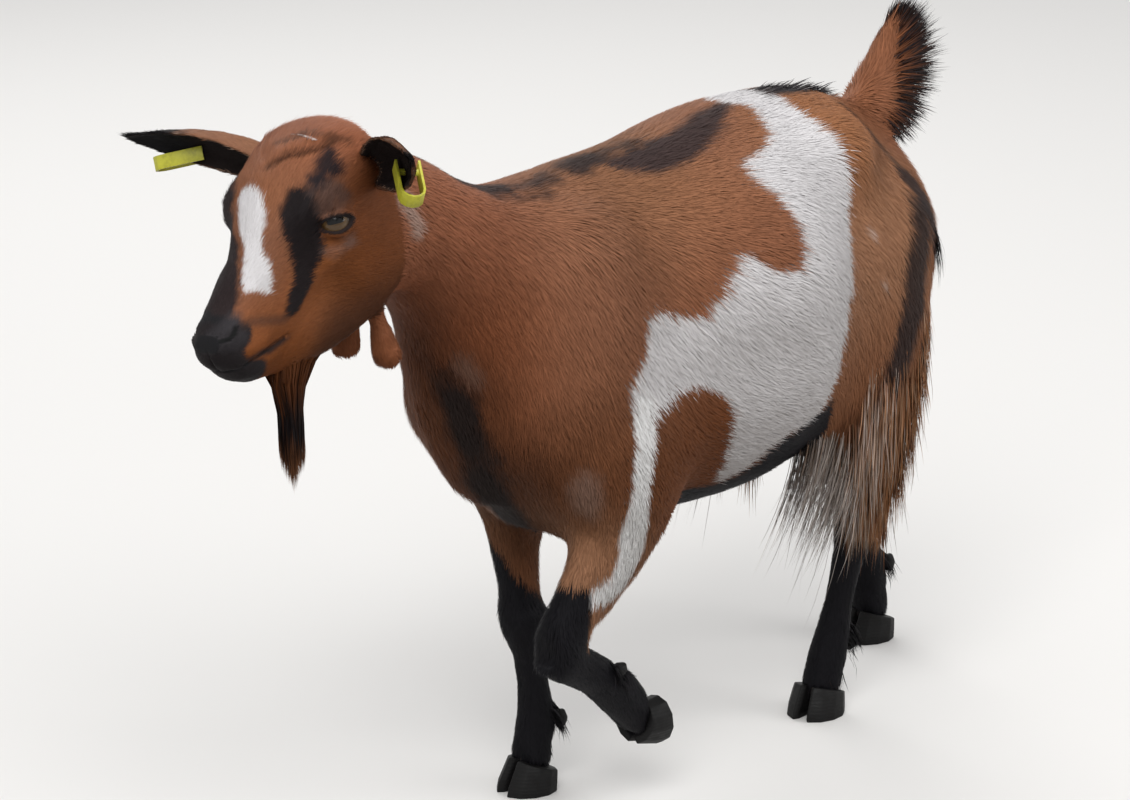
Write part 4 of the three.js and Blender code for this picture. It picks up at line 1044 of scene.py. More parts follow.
# %% Helpers for painting
def tinted(points, tints):
    """The mean of the tints near each point, with each tint on both sides."""
    total = np.full((len(points), 3), 1e-9) * rgb(tints[0][1])
    weights = np.full(len(points), 1e-9)
    for place, code, reach in tints:
        for side in (1, FLIP):
            weight = np.exp(-(np.linalg.norm(points - np.array(place) * side, axis=1) / reach) ** 2)
            total += weight[:, None] * rgb(code)
            weights += weight
    return total / weights[:, None]


def trunk_chart(points):
    """Along the body, and round it from the belly (164) to the spine (635)."""
    return np.stack([points[:, 0], 400 + 150 * np.arctan2(points[:, 2] - 400, np.abs(points[:, 1]))], 1)


def face_chart(head_points):
    """Along the nose, and round it to the left."""
    return np.stack([head_points[:, 0], 40 * np.arctan2(head_points[:, 1], head_points[:, 2] + 30)], 1)


def on_skin(path):
    """A path in head axes whose places are moved onto the skin."""
    return head_coords(np.array([skin_tree.find_nearest(in_head(*place).tolist())[0] for place in path]))


def mirrored(path, back=0):
    """A path on the other side of the body, moved back by so many millimetres."""
    return [(x + back, -y, z) for x, y, z in path]


def in_stripe(points, half, *paths):
    """How far points lie inside a stripe of this half width along the paths (negative outside)."""
    return half - np.minimum.reduce([distance_to_path(points, path) for path in paths])


def edge(amount, soft=3.0):
    """From 0 to 1 across a mark's border, which is twice soft millimetres wide."""
    return smoothstep(-soft, soft, amount)


def painted(base, amount, code):
    """Colours with another laid over them by the given share."""
    return base + (rgb(code) - base) * np.clip(amount, 0, 1)[:, None]


print("a face line on the skin:", on_skin(FACE_LINES[1][4]).round(1).tolist())


# %% Marks of the body
def body_marks(points, kinds, ragged):
    """Share and colour of each mark of neck and trunk, from the lowest to the top one."""
    x, y, z = points.T
    left, trunk = y < 0, kinds == "trunk"
    chart = trunk_chart(points) + np.where(left, 0, 9 * cloud(points, 90, 11))[:, None]
    front = x < -150
    chest = in_stripe(points, 21, CHEST_BAND)
    on_arm = (y < -45) & (z > 150) & (z < 385) & np.isin(kinds, ["trunk", "forearm", "hindthigh", "neck"])
    crest = np.maximum(in_stripe(points, 15, CREST), in_stripe(points, 9, WITHERS))
    croup = smoothstep(88, 104, x) * smoothstep(205, 180, x) * (z > 560) * trunk
    dock = np.maximum(in_stripe(points, 5, DOCK, mirrored(DOCK)),
                      in_stripe(points, 12, SEAT_EDGE, mirrored(SEAT_EDGE)))
    spots = np.maximum.reduce([size - np.linalg.norm(points - spot, axis=1) for spot, size in FLANK_SPOTS])
    return [
        (0.45 * smoothstep(0, 14, in_stripe(points, 16, THROAT_GREY) + ragged), "#9b8478"),
        (0.5 * smoothstep(0, 18, in_stripe(points, 22, BREAST_GREY) + ragged), "#9a8276"),
        # A wide soft dark brown fringe round the black chest band: partly dark hair, partly painted shade.
        (0.45 * smoothstep(-48, 4, chest + 1.5 * ragged) * front, "#33211a"),
        (0.93 * smoothstep(-7, 10, chest + 1.6 * ragged) * front, "#121011"),
        (edge(inside_by(chart, WHITE_BELT) + 0.8 * ragged) * trunk, "#dfdcdc"),
        (edge(inside_by(chart, BLACK_BELLY) + 0.5 * ragged) * trunk, "#141317"),
        (edge(inside_by(points[:, [0, 2]], ARM_STRIP) + 0.5 * ragged, 2) * on_arm, "#f6f3f2"),
        (0.92 * edge(inside_by(chart, BACK_STREAK) + 1.2 * ragged, 6) * (left & trunk), "#312a2d"),
        (0.92 * edge(crest + 1.7 * ragged, 6) * (kinds != "head"), "#221d20"),
        (edge(15 - np.abs(y) + 1.3 * ragged, 6) * croup, "#262125"),
        (0.9 * edge(dock + 0.6 * ragged, 4), "#262125"),
        (0.92 * edge(in_stripe(points, 19, THIGH_BAND, mirrored(THIGH_BAND, 60)) + ragged, 7), "#211c1f"),
        (0.65 * edge(in_stripe(points, 9, NAPE_PATCH) + 0.6 * ragged, 5), "#c2aca0"),
        (0.55 * edge(spots + 0.6 * ragged, 3), "#c9b7ac"),
    ]


print("marks of the body:", len(body_marks(skin_points[:9], skin_kind[:9], 0)))


# %% Marks of legs, tail and wattles
STOCKING = "#141317"


def leg_marks(points, kinds, names, ragged):
    """The black stockings, whose upper borders differ from leg to leg, the tail's tip and the wattles."""
    x, y, z = points.T
    left_fore = np.where(z < 224, np.maximum(-202 - x, (158 - z) * 0.8), 224 - z) + 0.6 * ragged
    right_fore = 205 - z - 1.2 * ((x + 150) * 0.656 - (y - 42) * 0.755 + 8) + ragged
    hind = np.where(names == "hindthigh_left", 190, 205) - z + 1.5 * ragged
    return [
        (edge(left_fore) * (names == "forearm_left"), STOCKING),
        (edge(right_fore, 4) * (names == "forearm_right"), STOCKING),
        (edge(hind, 6) * (kinds == "hindthigh"), "#1f1d20"),
        (np.isin(kinds, ["foreshank", "hindshank"]) * 1.0, STOCKING),
        (0.9 * (kinds == "tail") * edge((x - 298) * 0.8 + ragged, 6), "#241f20"),
        (0.8 * (kinds == "wattle"), "#7d4a2e"),
    ]


print("marks of the legs:", len(leg_marks(skin_points[:9], skin_kind[:9], skin_kind[:9], 0)))


# %% Marks of the face
FACE_PATCHES = [      # outline, colour, share, softness; the later ones lie on top
    (EYE_STRIPE, "#121115", 0.98, 2.6),
    (RIGHT_STRIPE, "#1f1d21", 0.95, 3.0),
    (OVER_EYE, "#57443e", 0.75, 4),
    (UNDER_EYE, "#7d6a64", 0.5, 5.0),
    # the brow patch: dark marking with painted shade under the brow
    (BROW_PATCH_AND_SHADE, "#1b1a20", 0.95, 3.5),
    (BLAZE, "#dedbdb", 1.0, 1.6),
    (MUZZLE, "#1e1d20", 0.98, 2.6),
]


def face_marks(face, on_face, fine):
    """The patches of the face, and over them the lines of nostrils, lips and folds, among them painted shade and
    painted highlights.
    """
    flat = face_chart(face)
    marks = []
    for outline, code, share, soft in FACE_PATCHES:
        amount = inside_by(flat, outline) + fine * (0.8 if soft < 3 else 1.6)
        marks.append((share * edge(amount, soft) * on_face, code))
    for half, soft, share, code, path in FACE_LINES:
        amount = in_stripe(face, half, on_skin(path)) + 0.3 * fine * min(half / 2, 1)
        marks.append((share * edge(amount, soft) * on_face, code))
    return marks


print("marks of the face:", len(FACE_PATCHES) + len(FACE_LINES))


# %% All the colours
def coat_colours(points, owner):
    """The coat's linear colour at points of the skin, painted shade and highlights included; owner tells whose skin
    it is (a place in OWNERS).
    """
    kinds, names = owner_kind[owner], np.array(OWNERS)[owner]
    face = head_coords(points)
    is_head = kinds == "head"
    ragged = 3.0 * cloud(points, 22) + 2.2 * cloud(points, 8, 5)
    fine = 1.6 * cloud(points, 9, 3) + 1.2 * cloud(points, 4, 9)
    colour = tinted(points, TINTS)
    face_share = smoothstep(-95, -60, face[:, 0]) * is_head
    colour += (tinted(face, FACE_TINTS) - colour) * face_share[:, None]
    colour *= (1 + 0.10 * cloud(points, 60, 1) + 0.07 * cloud(points, 16, 2))[:, None]
    for amount, code in (*body_marks(points, kinds, ragged), *leg_marks(points, kinds, names, ragged),
                         *face_marks(face, is_head & (face[:, 0] > -70), fine)):
        colour = painted(colour, amount, code)
    for name, (root, along, _) in EAR_LINES.items():
        mine = names == name
        share = (points[mine] - root) @ along / EAR_LENGTH
        tip = smoothstep(*BLACK_FROM[name], share + 0.012 * ragged[mine])
        colour[mine] = painted(rgb(EAR_BACK), tip * 0.97, "#151417")
    return np.clip(colour, 0.004, 0.9)


def paint(obj, colours):
    """Writes a colour for each vertex, which the materials read."""
    layer = obj.data.attributes.new("coat_colour", "FLOAT_COLOR", "POINT")
    full = np.concatenate([colours, np.ones((len(colours), 1))], 1).astype(np.float32)
    layer.data.foreach_set("color", full.ravel())


print("colour of the first point:", coat_colours(skin_points[:1], skin_owner[:1]).round(3))

# %% [markdown]
# ## Bare and dark places
# Some marks follow the skin's own form rather than a chart: the black hollow of the ears, black hair
# with painted shade in it, the dark naked rims of the lids and the naked nose and lips. They are worked out
# once for each point of the skin, then laid over the coat's colour on the skin and on every tuft.

# %% Ear hollows, lid rims, nose and lips
HOLLOW_CENTRE = 6        # how far in front of the ear's middle line the centre of its roll lies, in mm
FAR_OFF = 99.0           # mm


def ear_hollow(points, normals, owner):
    """How surely a point lies in the hollow of an ear, 0 to 1."""
    found = np.zeros(len(points))
    for name, (root, along, opening) in EAR_LINES.items():
        mine = owner == OWNERS.index(name)
        side = np.cross(along, opening)
        offset = points - root
        middle = np.stack([offset @ opening, offset @ side], 1)
        inward = opening * (HOLLOW_CENTRE - middle[:, :1]) - side * middle[:, 1:]
        facing = np.einsum("ij,ij->i", normals, inward)
        found[mine] = smoothstep(0, 5, facing[mine])
    return found


hollow = evened(ear_hollow(skin_points, skin_normals, skin_owner), skin_edges, 2)
lid_offset = np.full(len(skin_points), FAR_OFF)
for side, place in EYES.items():
    rays = (skin_points - place) @ HEAD_AXES.T
    far = np.linalg.norm(rays, axis=1)
    close = (far < 30) & ((rays @ eye_frame(side)[0]) > -2)
    lid_offset[close] = slit_offset(rays[close] / far[close][:, None], side)[0]
bare = np.full(len(skin_points), FAR_OFF)
for path, half in ((NOSTRIL, 2.2), (MOUTH, 1.6)):
    for flip in (1, -1):
        bare = np.minimum(bare, distance_to_path(in_head_axes, np.array(path) * (1, flip, 1)) - half)
nose_pad = 9 - distance_to_path(in_head_axes, [(130, 6, 4), (130, -6, 4)])
bare = np.minimum(bare, -nose_pad)
marks = np.stack([hollow, smoothstep(3.2, 1.4, lid_offset), smoothstep(1.0, -0.6, bare)], 1)


def marked(colours, marks):
    """Colours with the dark ear hollows (black hair and painted shade), lid rims, nose and lips laid over them."""
    # The first colour, near black, is the ear's black hair in its hollow with painted shade.
    for share, code in zip(marks.T, ("#100f12", "#171214", "#121114")):
        colours = painted(colours, 0.97 * share, code)
    return colours


skin_colours = marked(coat_colours(skin_points, skin_owner), marks)
paint(skin, skin_colours)
print("mean colour of the skin:", skin_colours.mean(0).round(3))

# %% [markdown]
# ## The skin's finish
# Between the tufts the hide shows: rough, matt and coloured as they are. The whole skin is one piece that
# stands for all the solids of flesh and both ears, and it is unwrapped so that its colours can be baked.

# %% The skin's material and unwrap
# Hide under short hair: rough and dull, with a grain like combed hair that only a close view shows.
skin_material, tree, shader = new_material("goat_skin_short_hair", Roughness=0.75, Specular_IOR_Level=0.2)
tone = node(tree, "Attribute", {"attribute_name": "coat_colour"})
tree.links.new(tone.outputs["Color"], shader.inputs["Base Color"])
spot = node(tree, "TexCoord").outputs["Object"]
hair = node(tree, "TexNoise", Vector=spot, Scale=700.0, Detail=4.0, Roughness=0.6)
bump = node(tree, "Bump", Strength=0.5, Distance=0.0006, Height=hair)
tree.links.new(bump.outputs[0], shader.inputs["Normal"])
skin.data.materials.clear()
skin.data.materials.append(skin_material)
skin.data.polygons.foreach_set("material_index", [0] * len(skin.data.polygons))
select_only(skin)
bpy.ops.object.shade_smooth()
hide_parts(*FLESH, *EAR_LINES)
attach(skin, "root")
ISLAND_ANGLE = math.radians(66)
edit(bpy.ops.uv.smart_project, angle_limit=ISLAND_ANGLE, island_margin=0.002)
skin.data.uv_layers.active.name = "OFBake"
print("skin triangles:", len(triangles_of(skin)))

# %% [markdown]
# ## The short coat
# Short hair is far too fine to model one by one, so a tuft of a few hairs is one thin blade of three
# triangles. It is rooted in the skin, follows the comb, and rises by a few millimetres towards its tip, so
# that the tufts overlap like tiles. Its normal is close to the skin's, which makes the coat shade as one
# soft surface. The root is painted darker, as painted shade where light doesn't reach, and the tip lighter, as
# painted light.

# %% Where tufts grow
#            length, width, lift in mm, tufts per square millimetre
HAIR = {"trunk": (16, 0.78, 1.9, 0.38), "neck": (14, 0.75, 2.1, 0.46), "head": (7.0, 0.48, 1.1, 1.32),
        "forearm": (11, 0.8, 1.9, 0.5), "hindthigh": (16, 0.8, 2.4, 0.48), "tail": (15, 0.8, 2.6, 0.55),
        "foreshank": (7, 0.7, 1.0, 0.85), "hindshank": (7, 0.7, 1.0, 0.85), "wattle": (5, 0.5, 0.6, 1.0),
        "ear": (5, 0.5, 0.45, 1.1)}
skin.data.calc_loop_triangles()
corner_loops = rows(skin.data.loop_triangles, "loops", 3, np.int32)
corners = triangles_of(skin)
unwrap = rows(skin.data.uv_layers["OFBake"].data, "uv", 2)

hair_length, hair_width, hair_lift, hair_density = np.array([HAIR[k] for k in skin_kind]).T
face_u, _, face_w = in_head_axes.T
muzzle_share = smoothstep(70, 112, face_u) * (skin_kind == "head")
crown_share = smoothstep(-5, -40, face_u) * smoothstep(-10, 16, face_w) * (skin_kind == "head")
hair_length = hair_length * (1 - 0.62 * muzzle_share) + 4 * crown_share
hair_lift = hair_lift * (1 - 0.6 * muzzle_share) + 0.8 * crown_share
hair_density = hair_density * (1 + 0.35 * muzzle_share)
off_lids = smoothstep(0.5, 11, lid_offset) * 0.6 + 0.4
hair_length *= off_lids
hair_lift *= off_lids
grows = smoothstep(-1.0, 1.5, bare) * smoothstep(0.6, 1.6, lid_offset)
eyes_inside = near_any(skin_points, EYES.values(), EYE_RADIUS + 0.3)
hair_density = hair_density * grows * ~eyes_inside * (1 - 0.35 * hollow)
print("bare points:", int((grows < 0.5).sum()))

# %% Roots on the skin
def scattered(density, region):
    """Roots spread over the triangles of a region: triangle and share of each corner."""
    a, b, c = (skin_points[corners[:, i]] for i in range(3))
    area = np.linalg.norm(np.cross(b - a, c - a), axis=1) / 2
    wanted = area * density[corners].mean(1) * region[corners].mean(1)
    total = np.cumsum(wanted)
    count = int(total[-1])
    picks = (np.arange(count) + random.random(count)) / count * total[-1]
    which = np.minimum(np.searchsorted(total, picks), len(corners) - 1)
    r1, r2 = np.sqrt(random.random(count)), random.random(count)
    return which, np.stack([1 - r1, r1 * (1 - r2), r1 * r2], 1)


def at_roots(values, which, shares):
    """A field of the skin's points, read at the roots."""
    return np.einsum("ij,ij...->i...", shares, values[corners[which]])


print("skin to grow hair on:", len(corners), "triangles")


# %% Hair as tapered strips
UV_HALF = 0.0014                 # half the size of a strip's patch in the unwrap


def strips(name, rings, sides, tips, shade_normals, colours, uv):
    """Tapered strips as one mesh: rings (n, k, 3) with half-width vectors, and a tip for each."""
    n, k = rings.shape[:2]
    per = 2 * k + 1
    verts = np.empty((n, per, 3))
    verts[:, 0:2 * k:2], verts[:, 1:2 * k:2], verts[:, -1] = rings - sides, rings + sides, tips
    quad = np.array([[2 * i, 2 * i + 1, 2 * i + 3, 2 * i + 2] for i in range(k - 1)]).ravel()
    pattern = np.concatenate([quad, [2 * k - 2, 2 * k - 1, 2 * k]])
    loops = (np.arange(n)[:, None] * per + pattern).ravel()
    sizes = np.tile([4] * (k - 1) + [3], n)
    mesh = bpy.data.meshes.new(name)
    mesh.vertices.add(n * per)
    mesh.vertices.foreach_set("co", to_metres(verts.reshape(-1, 3)).astype(np.float32).ravel())
    mesh.loops.add(len(loops))
    mesh.loops.foreach_set("vertex_index", loops.astype(np.int32))
    mesh.polygons.add(len(sizes))
    mesh.polygons.foreach_set("loop_start", np.concatenate([[0], np.cumsum(sizes)[:-1]]).astype(np.int32))
    mesh.polygons.foreach_set("use_smooth", [True] * len(sizes))
    mesh.update(calc_edges=True)
    patch = np.empty((per, 2))
    patch[0:2 * k:2, 0], patch[1:2 * k:2, 0] = -UV_HALF, UV_HALF
    patch[0:2 * k:2, 1] = patch[1:2 * k:2, 1] = np.linspace(-UV_HALF, 0.0008, k)
    patch[-1] = (0, UV_HALF)
    layer = mesh.uv_layers.new(name="OFBake")
    layer.data.foreach_set("uv", (uv[:, None] + patch)[:, pattern].astype(np.float32).ravel())
    piece = bpy.data.objects.new(name, mesh)
    scene.collection.objects.link(piece)
    paint(piece, colours.reshape(-1, 3))
    mesh.normals_split_custom_set_from_vertices(np.repeat(shade_normals, per, axis=0).astype(np.float32))
    mesh.materials.append(hair_material)
    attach(piece, "root")
    return piece


def varied(colours, spread=0.08):
    """Every tuft a little lighter or darker than its neighbour, white ones hardly."""
    bright = colours.mean(1)
    amount = spread * np.where(bright > 0.4, 0.3, 1.0)
    return colours * np.exp(random.normal(0, 1, len(colours)) * amount)[:, None]


# Keratin: this coat is matt, so it is rough with little gloss; its colour is a tuft's own.
hair_material, tree, shader = new_material("goat_hair_keratin", Roughness=0.62, Specular_IOR_Level=0.13)
tone = node(tree, "Attribute", {"attribute_name": "coat_colour"})
tree.links.new(tone.outputs["Color"], shader.inputs["Base Color"])
print("hair's material:", hair_material.name)

# %% Build the tufts
TUFTS_A_PIECE = 62000            # three triangles each, so that a piece stays under 200,000
ROOT_DEPTH = 0.35                # mm
WHITE = 0.4                      # colours brighter than this are white hair, whose roots get less painted shade


def tufts(name, region):
    """The short coat of a region, in as many pieces as it needs."""
    which, shares = scattered(hair_density, region.astype(float))
    points = at_roots(skin_points, which, shares)
    normals = unit(at_roots(skin_normals, which, shares))
    ways = unit(at_roots(lie, which, shares))
    length = at_roots(hair_length, which, shares) * np.exp(random.normal(0, 0.22, len(which)))
    width = at_roots(hair_width, which, shares) * random.uniform(0.75, 1.2, len(which))
    lift = at_roots(hair_lift, which, shares) * random.uniform(0.45, 1.25, len(which))
    side = np.cross(ways, normals)
    clump = 0.16 * cloud(points, 14, 21) + random.normal(0, 0.13, len(which))
    ways = unit(ways + side * clump[:, None])
    side = unit(np.cross(ways, normals)) * (width / 2)[:, None]
    roots = points - normals * ROOT_DEPTH
    middle = points + ways * (length * 0.5)[:, None] + normals * (lift * 0.72)[:, None]
    tips = points + ways * length[:, None] + normals * lift[:, None]
    colours = coat_colours(points, skin_owner[corners[which, shares.argmax(1)]])
    colours = varied(marked(colours, at_roots(marks, which, shares)))
    # Painted shade at the roots (8 % darker, 3 % for white hair) and painted light at the tips (8 % lighter).
    root_shade = np.where(colours.mean(1) > WHITE, 0.97, 0.92)[:, None]
    shades = np.stack([colours * root_shade, colours * root_shade, colours, colours, colours * 1.08], 1)
    shade_normals = unit(normals + random.normal(0, 0.07, (len(which), 3)) + 0.2 * ways)
    uv = np.einsum("ij,ijk->ik", shares, unwrap[corner_loops[which]])
    made = []
    order = np.argsort(points[:, 0], kind="stable")
    parts = np.array_split(order, max(1, math.ceil(len(order) / TUFTS_A_PIECE)))
    for number, own in enumerate(parts, 1):
        label = name if len(parts) == 1 else f"{name}_{number}"
        rings = np.stack([roots[own], middle[own]], 1)
        widths = np.stack([side[own] * 0.8, side[own]], 1)
        made.append(strips(label, rings, widths, tips[own], shade_normals[own], shades[own], uv[own]))
    print(f"{name}: {len(order)} tufts in {len(made)} piece(s)")
    return made


coat = []
for name, kinds, slot in (("coat_head", ("head", "wattle"), "coat_chestnut"),
                          ("coat_ears", ("ear",), "coat_black"),
                          ("coat_neck", ("neck",), "coat_chestnut"),
                          ("coat_barrel", ("trunk", "tail"), "coat_chestnut"),
                          ("coat_upper_legs", ("forearm", "hindthigh"), "coat_chestnut"),
                          ("coat_lower_legs", ("foreshank", "hindshank"), "coat_black")):
    coat += tufts(name, np.isin(skin_kind, kinds))
print("tuft triangles:", sum(len(o.data.polygons) // 2 * 3 for o in coat))

# %% [markdown]
# ## Long hair
# Where hair is long it hangs by its own weight or stands as it grows, so each lock has a way at its root,
# another at its end, and bends between them. The beard, the brush of the tail, the fringe behind the
# thighs, the pale hair of the groin and the short fringe on the ears are all made by this one function.

# %% Places and colours for locks
def nearest_on_skin(points):
    """The place, normal and unwrap position on the skin nearest to each point."""
    found = [skin_tree.find_nearest(p) for p in points.tolist()]
    places, normals = (np.array([tuple(f[i]) for f in found]) for i in (0, 1))
    return places, normals, unwrap[corner_loops[[f[2] for f in found], 0]]


def colour_rows(colour, n):
    """A colour for each of n locks: one hex code for all, or several picked at random by their shares.
    Rows of colours stay as they are."""
    if isinstance(colour, dict):
        shares = np.array(list(colour.values()))
        table = np.array([rgb(code) for code in colour])
        return table[random.choice(len(table), n, p=shares / shares.sum())]
    return np.broadcast_to(rgb(colour) if isinstance(colour, str) else colour, (n, 3))


def along_path(path, n, jitter):
    """Places spread evenly along a chain of lines, each moved at random, and their shares of its length."""
    path = np.asarray(path, float)
    legs = np.linalg.norm(np.diff(path, axis=0), axis=1)
    travel = random.random(n) * legs.sum()
    which = np.minimum(np.searchsorted(np.cumsum(legs), travel), len(legs) - 1)
    share = (travel - (np.cumsum(legs) - legs)[which]) / legs[which]
    places = path[which] + share[:, None] * (path[which + 1] - path[which])
    return places + random.normal(0, 1, (n, 3)) * np.asarray(jitter), travel / legs.sum()


print("skin nearest to the chin:", nearest_on_skin(np.array([[-481.0, -38.0, 470.0]]))[0].round(1))


# %% Locks
LOCK_DEPTH = 0.8         # mm


def lock_strips(name, lines, width, shades, replaces=()):
    """Tapered locks along given lines (n, rings, 3), with a colour for each ring."""
    n, k = lines.shape[:2]
    _, normals, uv = nearest_on_skin(lines[:, 0])
    width = np.broadcast_to(width, n) * random.uniform(0.7, 1.25, n)
    flat = unit(np.cross(lines[:, -1] - lines[:, 0], unit(normals + random.normal(0, 0.6, (n, 3)))))
    taper = 0.5 * (1 - 0.75 * np.linspace(0, 1, k)[:-1] ** 2)
    sides = flat[:, None] * (width[:, None] * taper)[:, :, None]
    soft = unit(normals + random.normal(0, 0.25, (n, 3)))
    doubled = np.repeat(shades, 2, axis=1)[:, :-1]
    piece = strips(name, lines[:, :-1], sides, lines[:, -1], soft, doubled, uv)
    if replaces:
        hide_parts(*replaces)
    print(f"{name}: {n} locks")


def locks(name, roots, start, end, length, width, colours, tips, slot, rings=5, spread=0.12, uneven=0.16,
          turn=0.5, replaces=()):
    """Locks that grow from the skin one way and end another: start and end are directions, one or one each.
    The colour turns from colours to tips about the share turn of the length."""
    n = len(roots)
    colours, tips = colour_rows(colours, n), colour_rows(tips, n)
    places, normals, _ = nearest_on_skin(roots)
    start = unit(np.broadcast_to(np.asarray(start, float), (n, 3)) + random.normal(0, spread, (n, 3)))
    end = unit(np.broadcast_to(np.asarray(end, float), (n, 3)) + random.normal(0, spread, (n, 3)))
    length = np.broadcast_to(length, n) * np.exp(random.normal(0, uneven, n))
    lines = [places - normals * LOCK_DEPTH]
    for share in np.linspace(0, 1, rings + 1)[1:]:
        lines.append(lines[-1] + unit(start * (1 - share) + end * share) * (length / rings)[:, None])
    shares = smoothstep(turn - 0.5, turn + 0.5, np.linspace(0, 1, rings + 1))[None, :, None]
    colours, tips = varied(colours, 0.2)[:, None], varied(tips, 0.2)[:, None]
    lock_strips(name, np.stack(lines, 1), width, colours * (1 - shares) + tips * shares, replaces)


print("locks are rooted", LOCK_DEPTH, "mm deep")

# %% [markdown]
# ## The beard
# The beard is a brown cone under the chin that narrows to one hanging lock, black below and brown again
# at its point. A table says how wide the cone is at each height, and another which colour it has there.
# Each hair starts on the skin and keeps its own place in the cone all the way down.

# %% The beard
BEARD_LINE = [(476, -481, 29), (462, -484, 22), (448, -485, 16.5), (434, -485, 12.5), (420, -484, 10.5),
              (404, -483, 10), (380, -481, 9.5), (350, -480, 8.5)]       # height, x and half width, in mm
BEARD_TINTS = [(476, "#774525"), (455, "#6b3e22"), (438, "#5a3520"), (428, "#33211a"), (416, "#1b1618"),
               (400, "#1e191a"), (391, "#5b3a29"), (382, "#8a5c3e"), (350, "#9a6d4e")]
CHIN = np.array([-481, -38, 470])
n = 2600
turn, out = random.uniform(0, 2 * np.pi, n), np.sqrt(random.random(n))
spot = np.stack([np.cos(turn) * out, np.sin(turn) * out], 1)
cone_heights, cone_x, cone_half = np.array(BEARD_LINE)[::-1].T
roots, _, _ = nearest_on_skin(CHIN + np.outer(spot[:, 0], (29, 0, -8)) + np.outer(spot[:, 1], (0, 11, 0)))
reach = 352 + 26 * out + 62 * random.random(n) ** 1.4
heights = roots[:, 2:] + (reach[:, None] - roots[:, 2:]) * np.linspace(0, 1, 8)
half = np.interp(heights, cone_heights, cone_half)
curl = 1.2 * np.sin(heights / 17 + 6 * spot[:, :1]) * (heights < 430)
beard = np.stack([np.interp(heights, cone_heights, cone_x) + spot[:, :1] * half + curl,
                  -37 + spot[:, 1:] * np.minimum(half, 10) + 0.03 * (470 - heights), heights], 2)
ease_in = smoothstep(0, 0.3, np.linspace(0, 1, 8))[None, :, None]
beard = roots[:, None] * (1 - ease_in) + beard * ease_in
tint_heights, tint_codes = zip(*BEARD_TINTS[::-1])
tint_table = np.array([rgb(code) for code in tint_codes])
where = heights + 6 * random.normal(0, 1, (n, 1))
shades = np.stack([np.interp(where, tint_heights, channel) for channel in tint_table.T], 2)
lock_strips("beard_hair", beard, 0.95, shades, replaces=("beard",))

# %% [markdown]
# ## The tail's brush
# A goat carries its short tail up when it walks. The dock's hair is brown at its root, black in its outer
# half, and spreads like a fan, so the direction of each lock is an angle that turns along the dock.

# %% The brush
n = 6000
places, share = along_path([(258, 0, 522), (280, 0, 560), (297, 0, 596)], n, (4, 5, 3))
fan = np.radians(-50 + 108 * share + random.normal(0, 7, n))
start = np.stack([np.cos(fan) * 0.7 + 0.2, random.normal(0, 0.22, n), np.sin(fan) + 0.25], 1)
end = np.stack([np.cos(fan), random.normal(0, 0.12, n), np.sin(fan)], 1)
length = np.interp(share, [0, 0.25, 0.5, 0.75, 1], [44, 62, 66, 52, 16]) * random.uniform(0.7, 1.0, n)
brown = random.random(n) < 0.62
locks("tail_brush_hair", places + start * 3, start, end, length, 0.9,
      np.where(brown[:, None], rgb("#8d5433"), rgb("#2b2122")), "#1c191c", "coat_black",
      rings=4, spread=0.05, uneven=0.07, turn=0.42, replaces=("tail_brush",))

# %% [markdown]
# ## Long hair of the hindquarters
# Behind the thighs hangs a fringe, over them lie coarser locks that turn grey in front, and the groin has
# pale wisps that blow forwards. Black ridges of hair stand along the croup and the back.

# %% Fringe and locks of the thighs
def both_sides(name, roots, start, end, length, width, colours, tips, slot, **more):
    """The same locks on both sides of the body."""
    n = len(roots)
    colours = [np.concatenate([rows, rows]) for rows in (colour_rows(colours, n), colour_rows(tips, n))]
    flip = np.concatenate([np.ones((n, 3)), np.tile(FLIP, (n, 1))])
    twice = [np.concatenate([np.broadcast_to(np.asarray(v, float), (n, 3))] * 2) * flip
             for v in (roots, start, end)]
    length = np.concatenate([np.broadcast_to(length, n)] * 2)
    locks(name, *twice, length, width, *colours, slot, **more)


n = 1500
roots, share = along_path([(214, -96, 400), (204, -106, 360), (196, -104, 320), (192, -92, 280),
                           (190, -80, 245)], n, (5, 8, 4))
both_sides("thigh_fringe", roots, (0.12, -0.08, -1), (-0.04, 0, -1), 34 + 30 * share, 0.9,
           {"#95603f": 6, "#7a4a2f": 3, "#3a2a26": 1}, {"#a8764f": 5, "#b99a80": 3, "#5a4036": 2},
           "coat_chestnut", rings=4)
n = 2600
roots = np.stack([random.uniform(125, 196, n), random.uniform(-112, -70, n),
                  205 + 175 * random.beta(1.0, 2.3, n)], 1)
paler = colour_rows({"#bda795": 3, "#c8bab0": 3, "#a57c60": 2}, n)
browner = colour_rows({"#a8764f": 3, "#8f6244": 3, "#b08a6c": 2}, n)
both_sides("thigh_locks", roots, (-0.04, -0.1, -1), (-0.06, 0.02, -1), random.uniform(34, 66, n), 1.0,
           colour_rows({"#97674a": 4, "#8d5f44": 3, "#a37a5c": 2}, n),
           np.where(roots[:, :1] < 158 + random.normal(0, 14, (n, 1)), paler, browner), "coat_chestnut",
           rings=4, spread=0.05)

